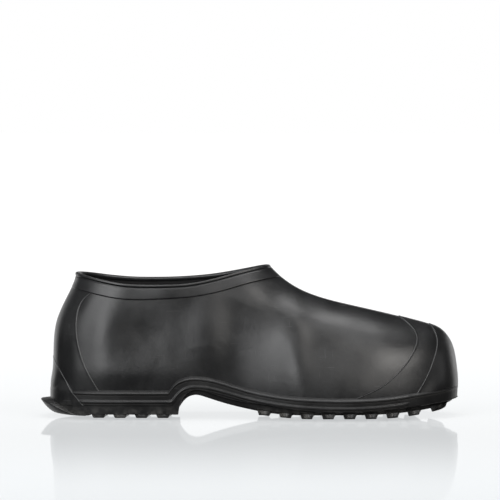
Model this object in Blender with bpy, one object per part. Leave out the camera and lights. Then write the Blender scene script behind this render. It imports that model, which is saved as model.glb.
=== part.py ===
"""Rubber overshoe for the right foot, toe towards +X, outer side towards -Y, resting on z = 0.

The upper's skin is one function of an angle round the shoe and a height. Every piece is worked out from it:
the upper hangs its wall inside the skin, and the overlays and the sole's side lie just outside it.
"""

import bmesh
import bpy
import numpy as np

# Overall sizes, in metres
LENGTH = 0.325
BALL_WIDTH = 0.105
THROAT_HEIGHT = 0.116
THROAT_FROM_TOE = 0.1453
HEEL_TOP_LEAN = 0.018

# Walls and overlays
UPPER_WALL = 0.0022
OVERLAY = 0.0008
SEAT_GAP = 0.0005
COLLAR_WIDTH = 0.0127
BEAD_HEIGHT = 0.0030
BEAD_PROUD = 0.0007
COLLAR_FADE = 0.75
COLLAR_FADE_ANGLE = 0.55
COLLAR_TURN_IN = 0.0030

# Rounding of the skin
HEEL_ROUND = 0.046
TOE_ROUND = 0.080
ARCH_POWER = 2.2
BREADTH_POWER = 2.4
PLAN_POWER = 2.25
TUCK_SHARE = 0.10
TUCK_HEIGHT = 0.040
RIDGE_SHIFT = 0.005

# Sole
SOLE_WALL = 0.0013
RIB_PROUD = 0.0011
RIB_WIDTH = 0.0020
RIB_SLOPE = 0.0006
SIDE_HEIGHT = 0.0314
HEEL_EDGE = 0.0027
HEEL_RIB_HIGH = 0.0203
HEEL_RIB_LOW = 0.0137
SOLE_EDGE_TUCK = 0.0030
TOE_LIP = 0.0008
TAB_REACH = 0.0078
TAB_TIP_HEIGHT = 0.0117
TAB_RIM = 0.0010
REAR_CLEAT_HEIGHT = 0.0010
TOE_SPRING = 0.0085
WAIST_SPRING = 0.0024
LUG_DRAFT = 0.0006
LUG_CHEVRON = 0.0040
HEEL_LUGS = 4
FORE_LUGS = 8

# Places along the sole, from the kick-off tab's tip
BREAST = 0.1078
TAB_SPAN = 0.086 * LENGTH
LUG_LENGTH = 0.0231 * LENGTH
LUG_PITCH = 0.0509 * LENGTH
TOE_LUG_LENGTH = 0.0431 * LENGTH
FIRST_HEEL_LUG = 0.1298 * LENGTH
FIRST_FORE_LUG = 0.5215 * LENGTH
TOE_LUG = 0.9369 * LENGTH
RIB_HIGH_CORNER = 0.3053 * LENGTH
RIB_LOW_CORNER = 0.3151 * LENGTH
RIB_HIGH_START = 0.074 * LENGTH
RIB_LOW_START = 0.096 * LENGTH
GUARD_RIB_END = 0.8714 * LENGTH
RIB_FADE = 0.0123 * LENGTH

# Mesh density
UPPER_STEPS = 28
UPPER_ROWS = 14
COLLAR_STEPS = 32
CROWDING_SHARE = 0.4
BEND_WEIGHT = 0.04
SOLE_STEPS = 24
ARCH_STEP = 0.0045
ARCH_BEFORE = 0.012
ARCH_AFTER = 0.055

# Where the upper's skin begins and ends, from the overall length
HEEL_X = -LENGTH / 2 + TAB_REACH + SEAT_GAP + SOLE_WALL
TOE_X = LENGTH / 2 - TOE_LIP - SEAT_GAP - SOLE_WALL
THROAT_X = TOE_X - THROAT_FROM_TOE

# Front profile: height as a share of THROAT_HEIGHT, reach as a share of THROAT_FROM_TOE. The rows over 1
# carry the form on over the opening, where the collar cuts it away.
FRONT_PROFILE = (
    (0.00, 0.985),
    (0.13, 1.000),
    (0.30, 1.000),
    (0.40, 0.994),
    (0.47, 0.977),
    (0.52, 0.953),
    (0.56, 0.922),
    (0.585, 0.885),
    (0.61, 0.820),
    (0.65, 0.700),
    (0.70, 0.535),
    (0.745, 0.375),
    (0.78, 0.272),
    (0.825, 0.178),
    (0.88, 0.103),
    (0.94, 0.044),
    (1.00, 0.000),
    (1.10, -0.072),
    (1.22, -0.180),
    (1.36, -0.340),
    (1.43, -0.520),
    (1.45, -1.200),
)

# Heel profile: height as a share of THROAT_HEIGHT, lean forward as a share of HEEL_TOP_LEAN
HEEL_PROFILE = (
    (0.00, 0.06),
    (0.10, 0.00),
    (0.24, 0.02),
    (0.37, 0.04),
    (0.47, 0.05),
    (0.54, 0.08),
    (0.61, 0.15),
    (0.67, 0.28),
    (0.73, 0.45),
    (0.80, 0.68),
    (0.87, 0.91),
    (0.95, 1.10),
    (1.45, 1.24),
)

# Plan: place as a share of the skin's length, the outer and the inner side as shares of half BALL_WIDTH
PLAN = (
    (0.00, -0.720, 0.720),
    (0.10, -0.742, 0.735),
    (0.19, -0.765, 0.725),
    (0.27, -0.768, 0.695),
    (0.35, -0.755, 0.666),
    (0.43, -0.752, 0.665),
    (0.48, -0.780, 0.692),
    (0.53, -0.848, 0.740),
    (0.57, -0.925, 0.796),
    (0.60, -0.985, 0.832),
    (0.62, -1.008, 0.856),
    (0.66, -1.018, 0.902),
    (0.72, -1.022, 0.955),
    (0.80, -0.996, 1.010),
    (0.90, -0.920, 1.062),
    (1.00, -0.855, 1.085),
)

# Topline: place as a share of the way from heel top to throat, outer and inner side as shares of THROAT_HEIGHT
TOPLINE = (
    (0.000, 0.951, 0.951),
    (0.073, 0.932, 0.938),
    (0.150, 0.908, 0.920),
    (0.230, 0.890, 0.909),
    (0.310, 0.881, 0.901),
    (0.490, 0.879, 0.903),
    (0.592, 0.887, 0.911),
    (0.696, 0.912, 0.922),
    (0.800, 0.947, 0.945),
    (0.904, 0.978, 0.972),
    (1.000, 1.000, 1.000),
)

# Sole from the heel breast forward: place as a share of LENGTH, heights as shares of SIDE_HEIGHT
SOLE_FRONT = (
    (0.3320, 0.270, 0.230),
    (0.3390, 0.462, 0.350),
    (0.3486, 0.599, 0.478),
    (0.3606, 0.675, 0.548),
    (0.3750, 0.697, 0.573),
    (0.3942, 0.656, 0.510),
    (0.4159, 0.580, 0.430),
    (0.4519, 0.449, 0.312),
    (0.5000, 0.373, 0.197),
    (0.5480, 0.325, 0.102),
    (0.5960, 0.236, 0.075),
    (0.6680, 0.172, 0.073),
    (0.7404, 0.162, 0.073),
    (0.8125, 0.197, 0.080),
    (0.8846, 0.287, 0.134),
    (0.9327, 0.347, 0.207),
    (0.9688, 0.424, 0.318),
    (1.0000, 0.560, 0.500),
)

# Floor inside the sole: place as a share of LENGTH, height as a share of SIDE_HEIGHT
FLOOR = (
    (0.000, 0.260),
    (0.100, 0.255),
    (0.220, 0.255),
    (0.290, 0.262),
    (0.325, 0.370),
    (0.345, 0.610),
    (0.365, 0.770),
    (0.385, 0.790),
    (0.416, 0.710),
    (0.452, 0.580),
    (0.500, 0.470),
    (0.548, 0.415),
    (0.596, 0.345),
    (0.668, 0.290),
    (0.740, 0.287),
    (0.812, 0.320),
    (0.885, 0.415),
    (0.933, 0.480),
    (0.969, 0.560),
    (1.000, 0.660),
)

# Ribs from their corners forward: place as a share of LENGTH, the two heights as shares of SIDE_HEIGHT
RIBS_FRONT = (
    (0.3053, 0.628, 0.414),
    (0.3115, 0.715, 0.414),
    (0.3173, 0.800, 0.470),
    (0.3245, 0.873, 0.570),
    (0.3317, 0.920, 0.660),
    (0.3413, 0.965, 0.735),
    (0.3558, 0.996, 0.800),
    (0.3726, 1.000, 0.815),
    (0.3918, 0.984, 0.797),
    (0.4159, 0.938, 0.748),
    (0.4519, 0.825, 0.648),
    (0.5000, 0.675, 0.505),
    (0.5480, 0.590, 0.418),
    (0.5960, 0.530, 0.361),
    (0.6680, 0.485, 0.306),
    (0.7404, 0.478, 0.299),
    (0.7885, 0.497, 0.318),
    (0.8365, 0.530, 0.359),
    (0.8846, 0.599, 0.420),
    (0.9327, 0.676, 0.492),
    (0.9688, 0.750, 0.560),
    (1.0000, 0.840, 0.660),
)

# Edges of the overlays: height as a share of THROAT_HEIGHT, place as a share of LENGTH
COUNTER_EDGE = (
    (0.120, 0.1580),
    (0.215, 0.1360),
    (0.360, 0.1070),
    (0.515, 0.0920),
    (0.620, 0.0895),
    (0.730, 0.0940),
    (0.800, 0.1100),
    (0.850, 0.1360),
    (0.900, 0.1700),
)
CAP_EDGE = (
    (0.110, 0.7200),
    (0.155, 0.7650),
    (0.200, 0.8020),
    (0.262, 0.8350),
    (0.369, 0.8700),
    (0.455, 0.8900),
    (0.520, 0.8966),
    (0.560, 0.8920),
    (0.610, 0.8780),
    (0.650, 0.8550),
)
TOE_GUARD_EDGE = (
    (0.110, 0.8770),
    (0.165, 0.8930),
    (0.230, 0.9080),
    (0.310, 0.9240),
    (0.430, 0.9400),
    (0.483, 0.9435),
    (0.530, 0.9420),
    (0.575, 0.9350),
    (0.625, 0.9180),
)
HEEL_GUARD_EDGE = (
    (0.060, 0.1160),
    (0.180, 0.0790),
    (0.300, 0.0530),
    (0.430, 0.0240),
    (0.520, 0.0080),
)


def smooth(rows, samples=900):
    """A table as a smooth curve: a uniform cubic B-spline over its rows that keeps both end rows."""
    rows = np.array(rows, float)
    rows = np.vstack([2 * rows[0] - rows[1], rows, 2 * rows[-1] - rows[-2]])
    place = np.linspace(0, len(rows) - 3, samples)
    first = np.minimum(place.astype(int), len(rows) - 4)
    t = (place - first)[:, None]
    weights = (
        (1 - t) ** 3 / 6,
        (3 * t**3 - 6 * t**2 + 4) / 6,
        (-3 * t**3 + 3 * t**2 + 3 * t + 1) / 6,
        t**3 / 6,
    )
    return sum(weight * rows[first + k] for k, weight in enumerate(weights))


FRONT_CURVE = smooth(FRONT_PROFILE)
HEEL_CURVE = smooth(HEEL_PROFILE)
PLAN_CURVE = smooth(PLAN)
TOPLINE_CURVE = smooth(TOPLINE)
SOLE_CURVE = smooth(SOLE_FRONT)
FLOOR_CURVE = smooth(FLOOR)
RIBS_CURVE = smooth(RIBS_FRONT)
FRONT_WIDEST = int(np.argmax(FRONT_CURVE[:, 1]))


def front_x(z):
    """Where the skin's front profile is at a height."""
    return THROAT_X + THROAT_FROM_TOE * np.interp(z / THROAT_HEIGHT, FRONT_CURVE[:, 0], FRONT_CURVE[:, 1])


def heel_x(z):
    """Where the skin's heel profile is at a height."""
    return HEEL_X + HEEL_TOP_LEAN * np.interp(z / THROAT_HEIGHT, HEEL_CURVE[:, 0], HEEL_CURVE[:, 1])


def ridge_z(x):
    """The height of the skin's ridge over the foot, running on over the opening."""
    upper_branch = FRONT_CURVE[FRONT_WIDEST:][::-1]
    reach = (x - THROAT_X) / THROAT_FROM_TOE
    return THROAT_HEIGHT * np.interp(reach, upper_branch[:, 1], upper_branch[:, 0])


def end_round(share):
    """A plan's rounded end: a quarter of a superellipse, 0 at the end and 1 from a share of 1 on."""
    away = 1 - np.clip(share, 0, 1)
    return (1 - away**PLAN_POWER) ** (1 / PLAN_POWER)


def both_round(first, second):
    """Two roundings as one, which closes as smoothly as either does where both come down to 0."""
    mixed = first**2 + second**2 - (first * second) ** 2
    return first * second / np.sqrt(np.maximum(mixed, 1e-12))


def plan(x):
    """The centre line and the half width at a place along the shoe."""
    share = (x - HEEL_X) / (TOE_X - HEEL_X)
    outer = BALL_WIDTH / 2 * np.interp(share, PLAN_CURVE[:, 0], PLAN_CURVE[:, 1])
    inner = BALL_WIDTH / 2 * np.interp(share, PLAN_CURVE[:, 0], PLAN_CURVE[:, 2])
    return (inner + outer) / 2, (inner - outer) / 2


def raw_skin(angle, z):
    """A point of the skin before it is centred: angle 0 at the heel, pi at the toe, negative on the outer side."""
    angle, z = np.broadcast_arrays(angle, z)
    back, front = heel_x(z), front_x(z)
    x = back + (front - back) * (1 - np.cos(angle)) / 2
    rise = np.clip(z / ridge_z(x), 0, 1)
    arch = (1 - rise**ARCH_POWER) ** (1 / BREADTH_POWER)
    tuck = 1 - TUCK_SHARE * np.clip(1 - z / TUCK_HEIGHT, 0, 1) ** 2
    centre, half = plan(x)
    width = half * tuck * end_round((x - back) / HEEL_ROUND) * both_round(arch, end_round((front - x) / TOE_ROUND))
    side = np.sign(np.sin(angle))
    return np.stack([x, centre + RIDGE_SHIFT * rise**2 + side * width, z], axis=-1)


def side_shift():
    """How far the skin moves sideways so that the shoe's box is centred on y = 0."""
    round_shoe = np.linspace(-np.pi, np.pi, 721)
    y = raw_skin(round_shoe[:, None], np.linspace(0.1, 0.6, 26) * THROAT_HEIGHT)[..., 1]
    return -(y.max() + y.min()) / 2


SIDE_SHIFT = side_shift()


def skin(angle, z, out=0.0):
    """A point at a distance outside the skin, along its normal."""
    step_angle, step_z = 2e-3, 5e-5
    point = raw_skin(angle, z)
    along = raw_skin(angle + step_angle, z) - raw_skin(angle - step_angle, z)
    up = raw_skin(angle, z + step_z) - raw_skin(angle, z - step_z)
    normal = np.cross(up, along)
    normal /= np.linalg.norm(normal, axis=-1, keepdims=True)
    return point + np.asarray(out)[..., None] * normal + (0, SIDE_SHIFT, 0)


def angle_at(x, z):
    """The angle, between 0 and pi, at which the skin's loop at a height reaches a place."""
    share = np.clip((x - heel_x(z)) / (front_x(z) - heel_x(z)), 0, 1)
    return np.arccos(1 - 2 * share)


def topline_z(angle):
    """The height of the collar's top edge at an angle, found by settling on the line of the topline table."""
    heel_top_x = heel_x(TOPLINE[0][1] * THROAT_HEIGHT)
    z = np.full(np.shape(angle), 0.93 * THROAT_HEIGHT)
    column = np.where(np.asarray(angle) < 0, 1, 2)
    for _ in range(60):
        x = raw_skin(angle, z)[..., 0]
        share = (x - heel_top_x) / (THROAT_X - heel_top_x)
        outer = np.interp(share, TOPLINE_CURVE[:, 0], TOPLINE_CURVE[:, 1])
        inner = np.interp(share, TOPLINE_CURVE[:, 0], TOPLINE_CURVE[:, 2])
        z = 0.5 * z + 0.5 * THROAT_HEIGHT * np.where(column == 1, outer, inner)
    return z


def floor_z(x):
    """The height of the floor inside the sole."""
    return SIDE_HEIGHT * np.interp(x / LENGTH + 0.5, FLOOR_CURVE[:, 0], FLOOR_CURVE[:, 1])


def rib_z(x, column, corner, heel_height):
    """The height of a rib: level round the heel, then up over the arch from its corner."""
    place = x / LENGTH + 0.5
    front = SIDE_HEIGHT * np.interp(place, RIBS_CURVE[:, 0], RIBS_CURVE[:, column])
    return np.where(place * LENGTH < corner, heel_height, np.maximum(front, heel_height * (place < 0.4)))


def rib_high_z(x):
    return rib_z(x, 1, RIB_HIGH_CORNER, HEEL_RIB_HIGH)


def rib_low_z(x):
    return rib_z(x, 2, RIB_LOW_CORNER, HEEL_RIB_LOW)


def run_along(points, bend_weight=0.0):
    """The length run down each column of points, from 0 in the first row. Bends count as extra length by
    their weight, in metres for each radian turned, which draws the rows of a mesh towards them."""
    steps = np.diff(points, axis=0)
    length = np.linalg.norm(steps, axis=-1) + 1e-9
    heading = steps / length[..., None]
    turned = np.linalg.norm(np.diff(heading, axis=0), axis=-1)
    turned = np.vstack([np.zeros((1, length.shape[1])), turned])
    return np.vstack([np.zeros((1, length.shape[1])), np.cumsum(length + bend_weight * turned, axis=0)])


def between(first_angle, first_z, last_angle, last_z, rows):
    """Rows of angles and heights from one line on the skin to another, spread by length and bend."""
    share = np.linspace(0, 1, 240)[:, None]
    run = run_along(raw_skin(first_angle + (last_angle - first_angle) * share,
                             first_z + (last_z - first_z) * share), BEND_WEIGHT)
    run /= run[-1]
    even = np.linspace(0, 1, rows)
    share = np.stack([np.interp(even, run[:, k], share[:, 0]) for k in range(run.shape[1])], axis=1)
    return first_angle + (last_angle - first_angle) * share, first_z + (last_z - first_z) * share


def below_collar(angle, depth):
    """The height that lies a distance down the skin from the collar's top edge."""
    top = topline_z(angle)
    fine = top - np.linspace(0, 3 * COLLAR_WIDTH, 120)[:, None]
    points = raw_skin(np.broadcast_to(angle, fine.shape), fine)
    run = run_along(points)
    return np.array([np.interp(depth, run[:, k], fine[:, k]) for k in range(fine.shape[1])])


def rubber(name, shade, roughness):
    """The material of one piece: black rubber, a little lighter or duller from piece to piece."""
    material = bpy.data.materials.new(name)
    material.use_nodes = True
    shader = material.node_tree.nodes["Principled BSDF"]
    shader.inputs["Base Color"].default_value = (shade, shade, shade * 1.04, 1)
    shader.inputs["Roughness"].default_value = roughness
    shader.inputs["Metallic"].default_value = 0
    return material


def add_piece(name, points, faces, shade=0.018, roughness=0.42):
    """Adds a closed solid as an object, with coincident points merged and faces turned outwards."""
    mesh = bpy.data.meshes.new(name)
    mesh.from_pydata(points.tolist(), [], faces)
    shape = bmesh.new()
    shape.from_mesh(mesh)
    bmesh.ops.remove_doubles(shape, verts=shape.verts, dist=1e-6)
    bmesh.ops.triangulate(shape, faces=shape.faces)
    bmesh.ops.recalc_face_normals(shape, faces=shape.faces)
    if shape.calc_volume(signed=True) < 0:
        bmesh.ops.reverse_faces(shape, faces=shape.faces)
    shape.to_mesh(mesh)
    shape.free()
    mesh.shade_smooth()
    mesh.set_sharp_from_angle(angle=np.radians(35))
    mesh.materials.append(rubber(name, shade, roughness))
    piece = bpy.data.objects.new(name, mesh)
    bpy.context.scene.collection.objects.link(piece)
    return piece


def grid_faces(rows, columns, first=0, close_rows=False, close_columns=False):
    """The quads of a grid of points that is numbered row by row."""
    faces = []
    for r in range(rows if close_rows else rows - 1):
        for c in range(columns if close_columns else columns - 1):
            r2, c2 = (r + 1) % rows, (c + 1) % columns
            corners = (r * columns + c, r * columns + c2, r2 * columns + c2, r2 * columns + c)
            faces.append(tuple(first + k for k in corners))
    return faces


def ring_solid(name, profile, **looks):
    """A ring: a closed profile of points carried round the shoe."""
    rows, columns = profile.shape[:2]
    return add_piece(name, profile.reshape(-1, 3), grid_faces(rows, columns, 0, True, True), **looks)


def plate_solid(name, angle, z, inside, thickness, **looks):
    """A patch of the skin as a plate: two grids at two distances outside the skin, joined round their edges."""
    rows, columns = angle.shape
    grids = [skin(angle, z, np.full(angle.shape, out)) for out in (inside, inside + thickness)]
    count = rows * columns
    faces = [face[::-1] for face in grid_faces(rows, columns)] + grid_faces(rows, columns, count)
    rim = [(0, c) for c in range(columns)] + [(r, columns - 1) for r in range(1, rows)]
    rim += [(rows - 1, c) for c in range(columns - 2, -1, -1)] + [(r, 0) for r in range(rows - 2, 0, -1)]
    rim = [r * columns + c for r, c in rim]
    faces += [(a, b, b + count, a + count) for a, b in zip(rim, rim[1:] + rim[:1])]
    return add_piece(name, np.concatenate([grid.reshape(-1, 3) for grid in grids]), faces, **looks)


def half_turn(steps):
    """Angles from the heel's end to the toe's, crowded towards both ends, where the plan turns."""
    share = np.linspace(0, 1, steps + 1)
    return np.pi * (share - CROWDING_SHARE * np.sin(2 * np.pi * share) / (2 * np.pi))


def full_turn(half):
    """Angles all the way round: the inner side's from heel to toe, then the outer side's back to the heel."""
    return np.concatenate([half, -half[-2:0:-1]])


def body_places(steps):
    """Places from the heel's end to the toe's, closer together at both ends and over the heel breast and arch."""
    low, high = HEEL_X + LENGTH / 2, front_x(HEEL_RIB_LOW) + LENGTH / 2
    even = low + (high - low) * (1 - np.cos(half_turn(steps))) / 2
    arch = np.arange(BREAST - ARCH_BEFORE, BREAST + ARCH_AFTER, ARCH_STEP)
    clear = (even < arch[0] - ARCH_STEP / 2) | (even > arch[-1] + ARCH_STEP / 2)
    return np.sort(np.concatenate([even[clear], arch]))


def make_upper():
    """The hollow upper: skin and inner wall from its foot on the sole's floor up to just under the collar's top."""
    place = body_places(UPPER_STEPS)
    angle = full_turn(angle_at(place - LENGTH / 2, np.full(place.shape, HEEL_RIB_LOW)))
    top = below_collar(angle, SEAT_GAP + OVERLAY)
    foot = floor_z(raw_skin(angle, HEEL_RIB_LOW)[..., 0]) + 2 * SEAT_GAP
    angles, z = between(angle, foot, angle, top, UPPER_ROWS)
    outer = skin(angles, z)
    inner = skin(angles, z, np.full(z.shape, -UPPER_WALL))
    inner[0, :, 2] = outer[0, :, 2]
    ring_solid("upper", np.concatenate([outer, inner[::-1]]), shade=0.020)


def make_collar():
    """The collar band: outside it reaches down to its lower edge, its bead rolls over the upper and turns in."""
    angle = full_turn(half_turn(COLLAR_STEPS))
    from_throat = np.clip((np.pi - np.abs(angle)) / COLLAR_FADE_ANGLE, 0, 1)
    full = 1 - COLLAR_FADE * (1 - from_throat**2 * (3 - 2 * from_throat))
    outside, inside = SEAT_GAP + OVERLAY * full, -UPPER_WALL - SEAT_GAP
    bead = outside + BEAD_PROUD * full
    profile = (
        (COLLAR_WIDTH, SEAT_GAP),
        (COLLAR_WIDTH, outside),
        (BEAD_HEIGHT + RIB_SLOPE, outside),
        (BEAD_HEIGHT, outside - OVERLAY * full / 3),
        (BEAD_HEIGHT - RIB_SLOPE, bead),
        (RIB_SLOPE, bead),
        (0.0, outside / 2),
        (0.0, inside / 2),
        (RIB_SLOPE, inside - OVERLAY),
        (COLLAR_TURN_IN, inside - OVERLAY),
        (COLLAR_TURN_IN, inside),
        (OVERLAY, inside),
        (OVERLAY, SEAT_GAP),
    )
    rows = [skin(angle, below_collar(angle, depth), np.broadcast_to(out, angle.shape)) for depth, out in profile]
    ring_solid("collar_band", np.stack(rows), shade=0.024, roughness=0.40)


def table_x(rows, z):
    """Where an overlay's edge is at a height."""
    curve = smooth(rows)
    return LENGTH * (np.interp(z / THROAT_HEIGHT, curve[:, 0], curve[:, 1]) - 0.5)


def side_top_z(x):
    """The top edge of the sole's side."""
    return rib_high_z(x) + RIB_SLOPE


def make_heel_counter():
    """The counter: round the heel from its curved front edges, between the sole's side and the collar band."""
    columns, rows = 21, 8
    share = np.linspace(-1, 1, columns)
    z = np.linspace(side_top_z(HEEL_X) + SEAT_GAP, TOPLINE[4][1] * THROAT_HEIGHT - COLLAR_WIDTH, rows)
    z = np.broadcast_to(z[:, None], (rows, columns)).copy()
    for _ in range(20):
        angle = share * angle_at(table_x(COUNTER_EDGE, z), z)
        top = below_collar(angle[-1], COLLAR_WIDTH + SEAT_GAP)
        z = z[:1] + (top - z[:1]) * np.linspace(0, 1, rows)[:, None]
    plate_solid("heel_counter", angle, z, SEAT_GAP, OVERLAY, shade=0.017)


def make_end_plate(name, edge, middle, crossing, inside, columns, rows, shade):
    """A sheet round the heel or the toe: from the sole's side up to its edge, which crosses the shoe's
    middle line at one height and runs down to the sole's side on both flanks."""
    side = np.linspace(-1, 1, columns)
    corner_z = fixed_point(lambda z: side_top_z(table_x(edge, z)) + SEAT_GAP, 0.15 * THROAT_HEIGHT)
    edge_z = crossing - (crossing - corner_z) * np.abs(side) ** 1.7
    edge_angle = middle + np.sign(side) * np.abs(middle - angle_at(table_x(edge, edge_z), edge_z))
    low_angle = middle + side * (edge_angle[-1] - middle)
    low_z = np.full(columns, corner_z)
    for _ in range(30):
        low_z = side_top_z(raw_skin(low_angle, low_z)[:, 0]) + SEAT_GAP
    angle, z = between(low_angle, low_z, edge_angle, edge_z, rows)
    plate_solid(name, angle, z, inside, OVERLAY, shade=shade)


def fixed_point(rule, start):
    """The value that a gentle rule gives back unchanged."""
    value = start
    for _ in range(60):
        value = 0.5 * value + 0.5 * float(rule(value))
    return value


def crossing_height(edge, profile, low, high):
    """The height at which an overlay's edge meets the shoe's profile."""
    heights = np.linspace(low, high, 1200) * THROAT_HEIGHT
    gap = table_x(edge, heights) - profile(heights)
    return heights[np.argmin(np.abs(gap))]


def make_toe_cap():
    """The toe cap: over the toe in front of its curved edge, down to the sole's side."""
    crossing = crossing_height(CAP_EDGE, front_x, 0.6, 0.7)
    make_end_plate("toe_cap", CAP_EDGE, np.pi, crossing, SEAT_GAP, 33, 12, 0.019)


def make_toe_guard():
    """The toe guard: a second, smaller sheet over the cap at the tip."""
    crossing = crossing_height(TOE_GUARD_EDGE, front_x, 0.56, 0.65)
    make_end_plate("toe_guard", TOE_GUARD_EDGE, np.pi, crossing, 2 * SEAT_GAP + OVERLAY, 29, 10, 0.016)


def make_heel_guard():
    """The heel guard: a small triangle of sheet low on the heel's back, over the counter."""
    crossing = crossing_height(HEEL_GUARD_EDGE, heel_x, 0.3, 0.5)
    make_end_plate("heel_guard", HEEL_GUARD_EDGE, 0.0, crossing, 2 * SEAT_GAP + OVERLAY, 15, 5, 0.016)


def lugs():
    """The start and end of each lug, measured from the kick-off tab's tip."""
    found = [(FIRST_HEEL_LUG + k * LUG_PITCH, LUG_LENGTH) for k in range(HEEL_LUGS)]
    found += [(FIRST_FORE_LUG + k * LUG_PITCH, LUG_LENGTH) for k in range(FORE_LUGS)]
    found.append((TOE_LUG, TOE_LUG_LENGTH))
    return [(start, start + length) for start, length in found]


def lug_share(place):
    """1 on a lug, 0 between lugs, sloping over the draft of its faces."""
    share = np.zeros(np.shape(place))
    for start, end in lugs():
        inside = np.minimum(place - start, end - place)
        share = np.maximum(share, np.clip(0.5 + inside / LUG_DRAFT, 0, 1))
    return share


def sole_stations():
    """Places along the sole, from its heel end to its toe end: each lug's edges, the breast, the ribs' corners."""
    marks = [BREAST - LUG_DRAFT / 2, BREAST + LUG_DRAFT / 2]
    marks += [RIB_HIGH_CORNER, RIB_LOW_CORNER]
    for start, end in lugs():
        marks += [start - LUG_DRAFT / 2, start + LUG_DRAFT / 2, end - LUG_DRAFT / 2, end + LUG_DRAFT / 2]
    marks = np.array(sorted(marks))
    base = body_places(SOLE_STEPS)
    clear = np.abs(base[:, None] - marks[None, :]).min(axis=1) > LUG_LENGTH / 4
    clear[[0, -1]] = True
    return np.sort(np.concatenate([base[clear], marks]))


def rear_share(place):
    """1 at the very back of the heel, easing to 0 where the kick-off tab ends."""
    share = 1 - np.clip((place - HEEL_X - LENGTH / 2) / TAB_SPAN, 0, 1)
    share = np.clip((share - 0.42) / 0.56, 0, 1)
    return share**2 * (3 - 2 * share)


def sole_heights(place):
    """The sole's lower edge, the underside's middle, and the lugs' faces, at places along it."""
    in_front = place > BREAST
    share = place / LENGTH
    edge = SIDE_HEIGHT * np.interp(share, SOLE_CURVE[:, 0], SOLE_CURVE[:, 1])
    keel = SIDE_HEIGHT * np.interp(share, SOLE_CURVE[:, 0], SOLE_CURVE[:, 2])
    spring = TOE_SPRING * np.clip((share - 0.79) / 0.21, 0, 1) ** 2
    spring += WAIST_SPRING * np.where(in_front, np.clip((0.66 - share) / 0.13, 0, 1) ** 2, 0)
    heel_keel = HEEL_EDGE + (REAR_CLEAT_HEIGHT - HEEL_EDGE) * (place < FIRST_HEEL_LUG)
    return np.where(in_front, edge, HEEL_EDGE), np.where(in_front, keel, heel_keel), spring


def make_outsole():
    """The outsole: floor, ribbed side, kick-off tab, lugs, heel breast and arch, as loops from the floor's
    middle outwards, over the side and back to the underside's middle."""
    place = sole_stations()
    x = place - LENGTH / 2
    half_angle = angle_at(x, np.full(x.shape, HEEL_RIB_LOW))
    angle = full_turn(half_angle)
    order = np.concatenate([np.arange(len(x)), np.arange(len(x) - 2, 0, -1)])
    x, place = x[order], place[order]
    floor, high, low = floor_z(x), rib_high_z(x), rib_low_z(x)
    edge, keel, spring = sole_heights(place)
    rear = rear_share(place)
    front = np.clip((place / LENGTH - 0.9) / 0.1, 0, 1)
    wall = SEAT_GAP + SOLE_WALL
    high_proud = RIB_PROUD * np.clip((place - RIB_HIGH_START) / RIB_FADE, 0, 1)
    low_proud = RIB_PROUD * np.clip(np.minimum(place - RIB_LOW_START, GUARD_RIB_END - place) / RIB_FADE, 0, 1)
    tab = edge + (TAB_TIP_HEIGHT - edge) * rear

    def loop(z, out):
        return skin(angle, z, np.broadcast_to(out, angle.shape))

    foot = loop(floor, SEAT_GAP)
    side = [
        loop(high + RIB_SLOPE, SEAT_GAP),
        loop(high + RIB_SLOPE, wall - RIB_SLOPE),
        loop(high, wall + high_proud),
        loop(high - RIB_WIDTH, wall + high_proud),
        loop(high - RIB_WIDTH - RIB_SLOPE, wall),
        loop(low + RIB_SLOPE, wall),
        loop(low, wall + low_proud),
        loop(low - RIB_WIDTH, wall + low_proud),
        loop(low - RIB_WIDTH - RIB_SLOPE, wall),
        loop(tab + TAB_RIM, wall),
        loop(tab + TAB_RIM / 2, wall + TAB_REACH * rear + TOE_LIP * front),
    ]
    belly = loop(edge + (tab - edge) * 0.34 + TAB_RIM / 5, wall + 0.36 * TAB_REACH * rear + TOE_LIP / 2 * front)
    under_edge = loop(edge, wall - SOLE_EDGE_TUCK / 3)
    lug = lug_share(place)
    end_fade = np.clip(np.sin(half_angle[order]) * 3, 0, 1)
    inset = loop(edge, wall - SOLE_EDGE_TUCK)
    mirror = np.concatenate([[0], np.arange(len(angle) - 1, 0, -1)])
    middle = (inset + inset[mirror]) / 2
    middle[:, 0] += LUG_CHEVRON * end_fade
    foot_middle = (foot + foot[mirror]) / 2

    def across(share, camber):
        row = inset + (middle - inset) * share
        ceiling = edge + (keel - edge) * camber * end_fade
        row[:, 2] = ceiling + (np.minimum(spring, ceiling) - ceiling) * lug * end_fade
        return row

    rows = [foot_middle, foot, *side, belly, under_edge]
    rows += [across(0.0, 0.35), across(0.4, 1.0), across(1.0, 1.0)]
    rows = np.stack(rows)
    faces = grid_faces(rows.shape[0], rows.shape[1], 0, False, True)
    add_piece("outsole", rows.reshape(-1, 3), faces, shade=0.015, roughness=0.5)


def main():
    for old in list(bpy.data.objects):
        bpy.data.objects.remove(old, do_unlink=True)
    make_upper()
    make_collar()
    make_heel_counter()
    make_toe_cap()
    make_toe_guard()
    make_heel_guard()
    make_outsole()


main()
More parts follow.
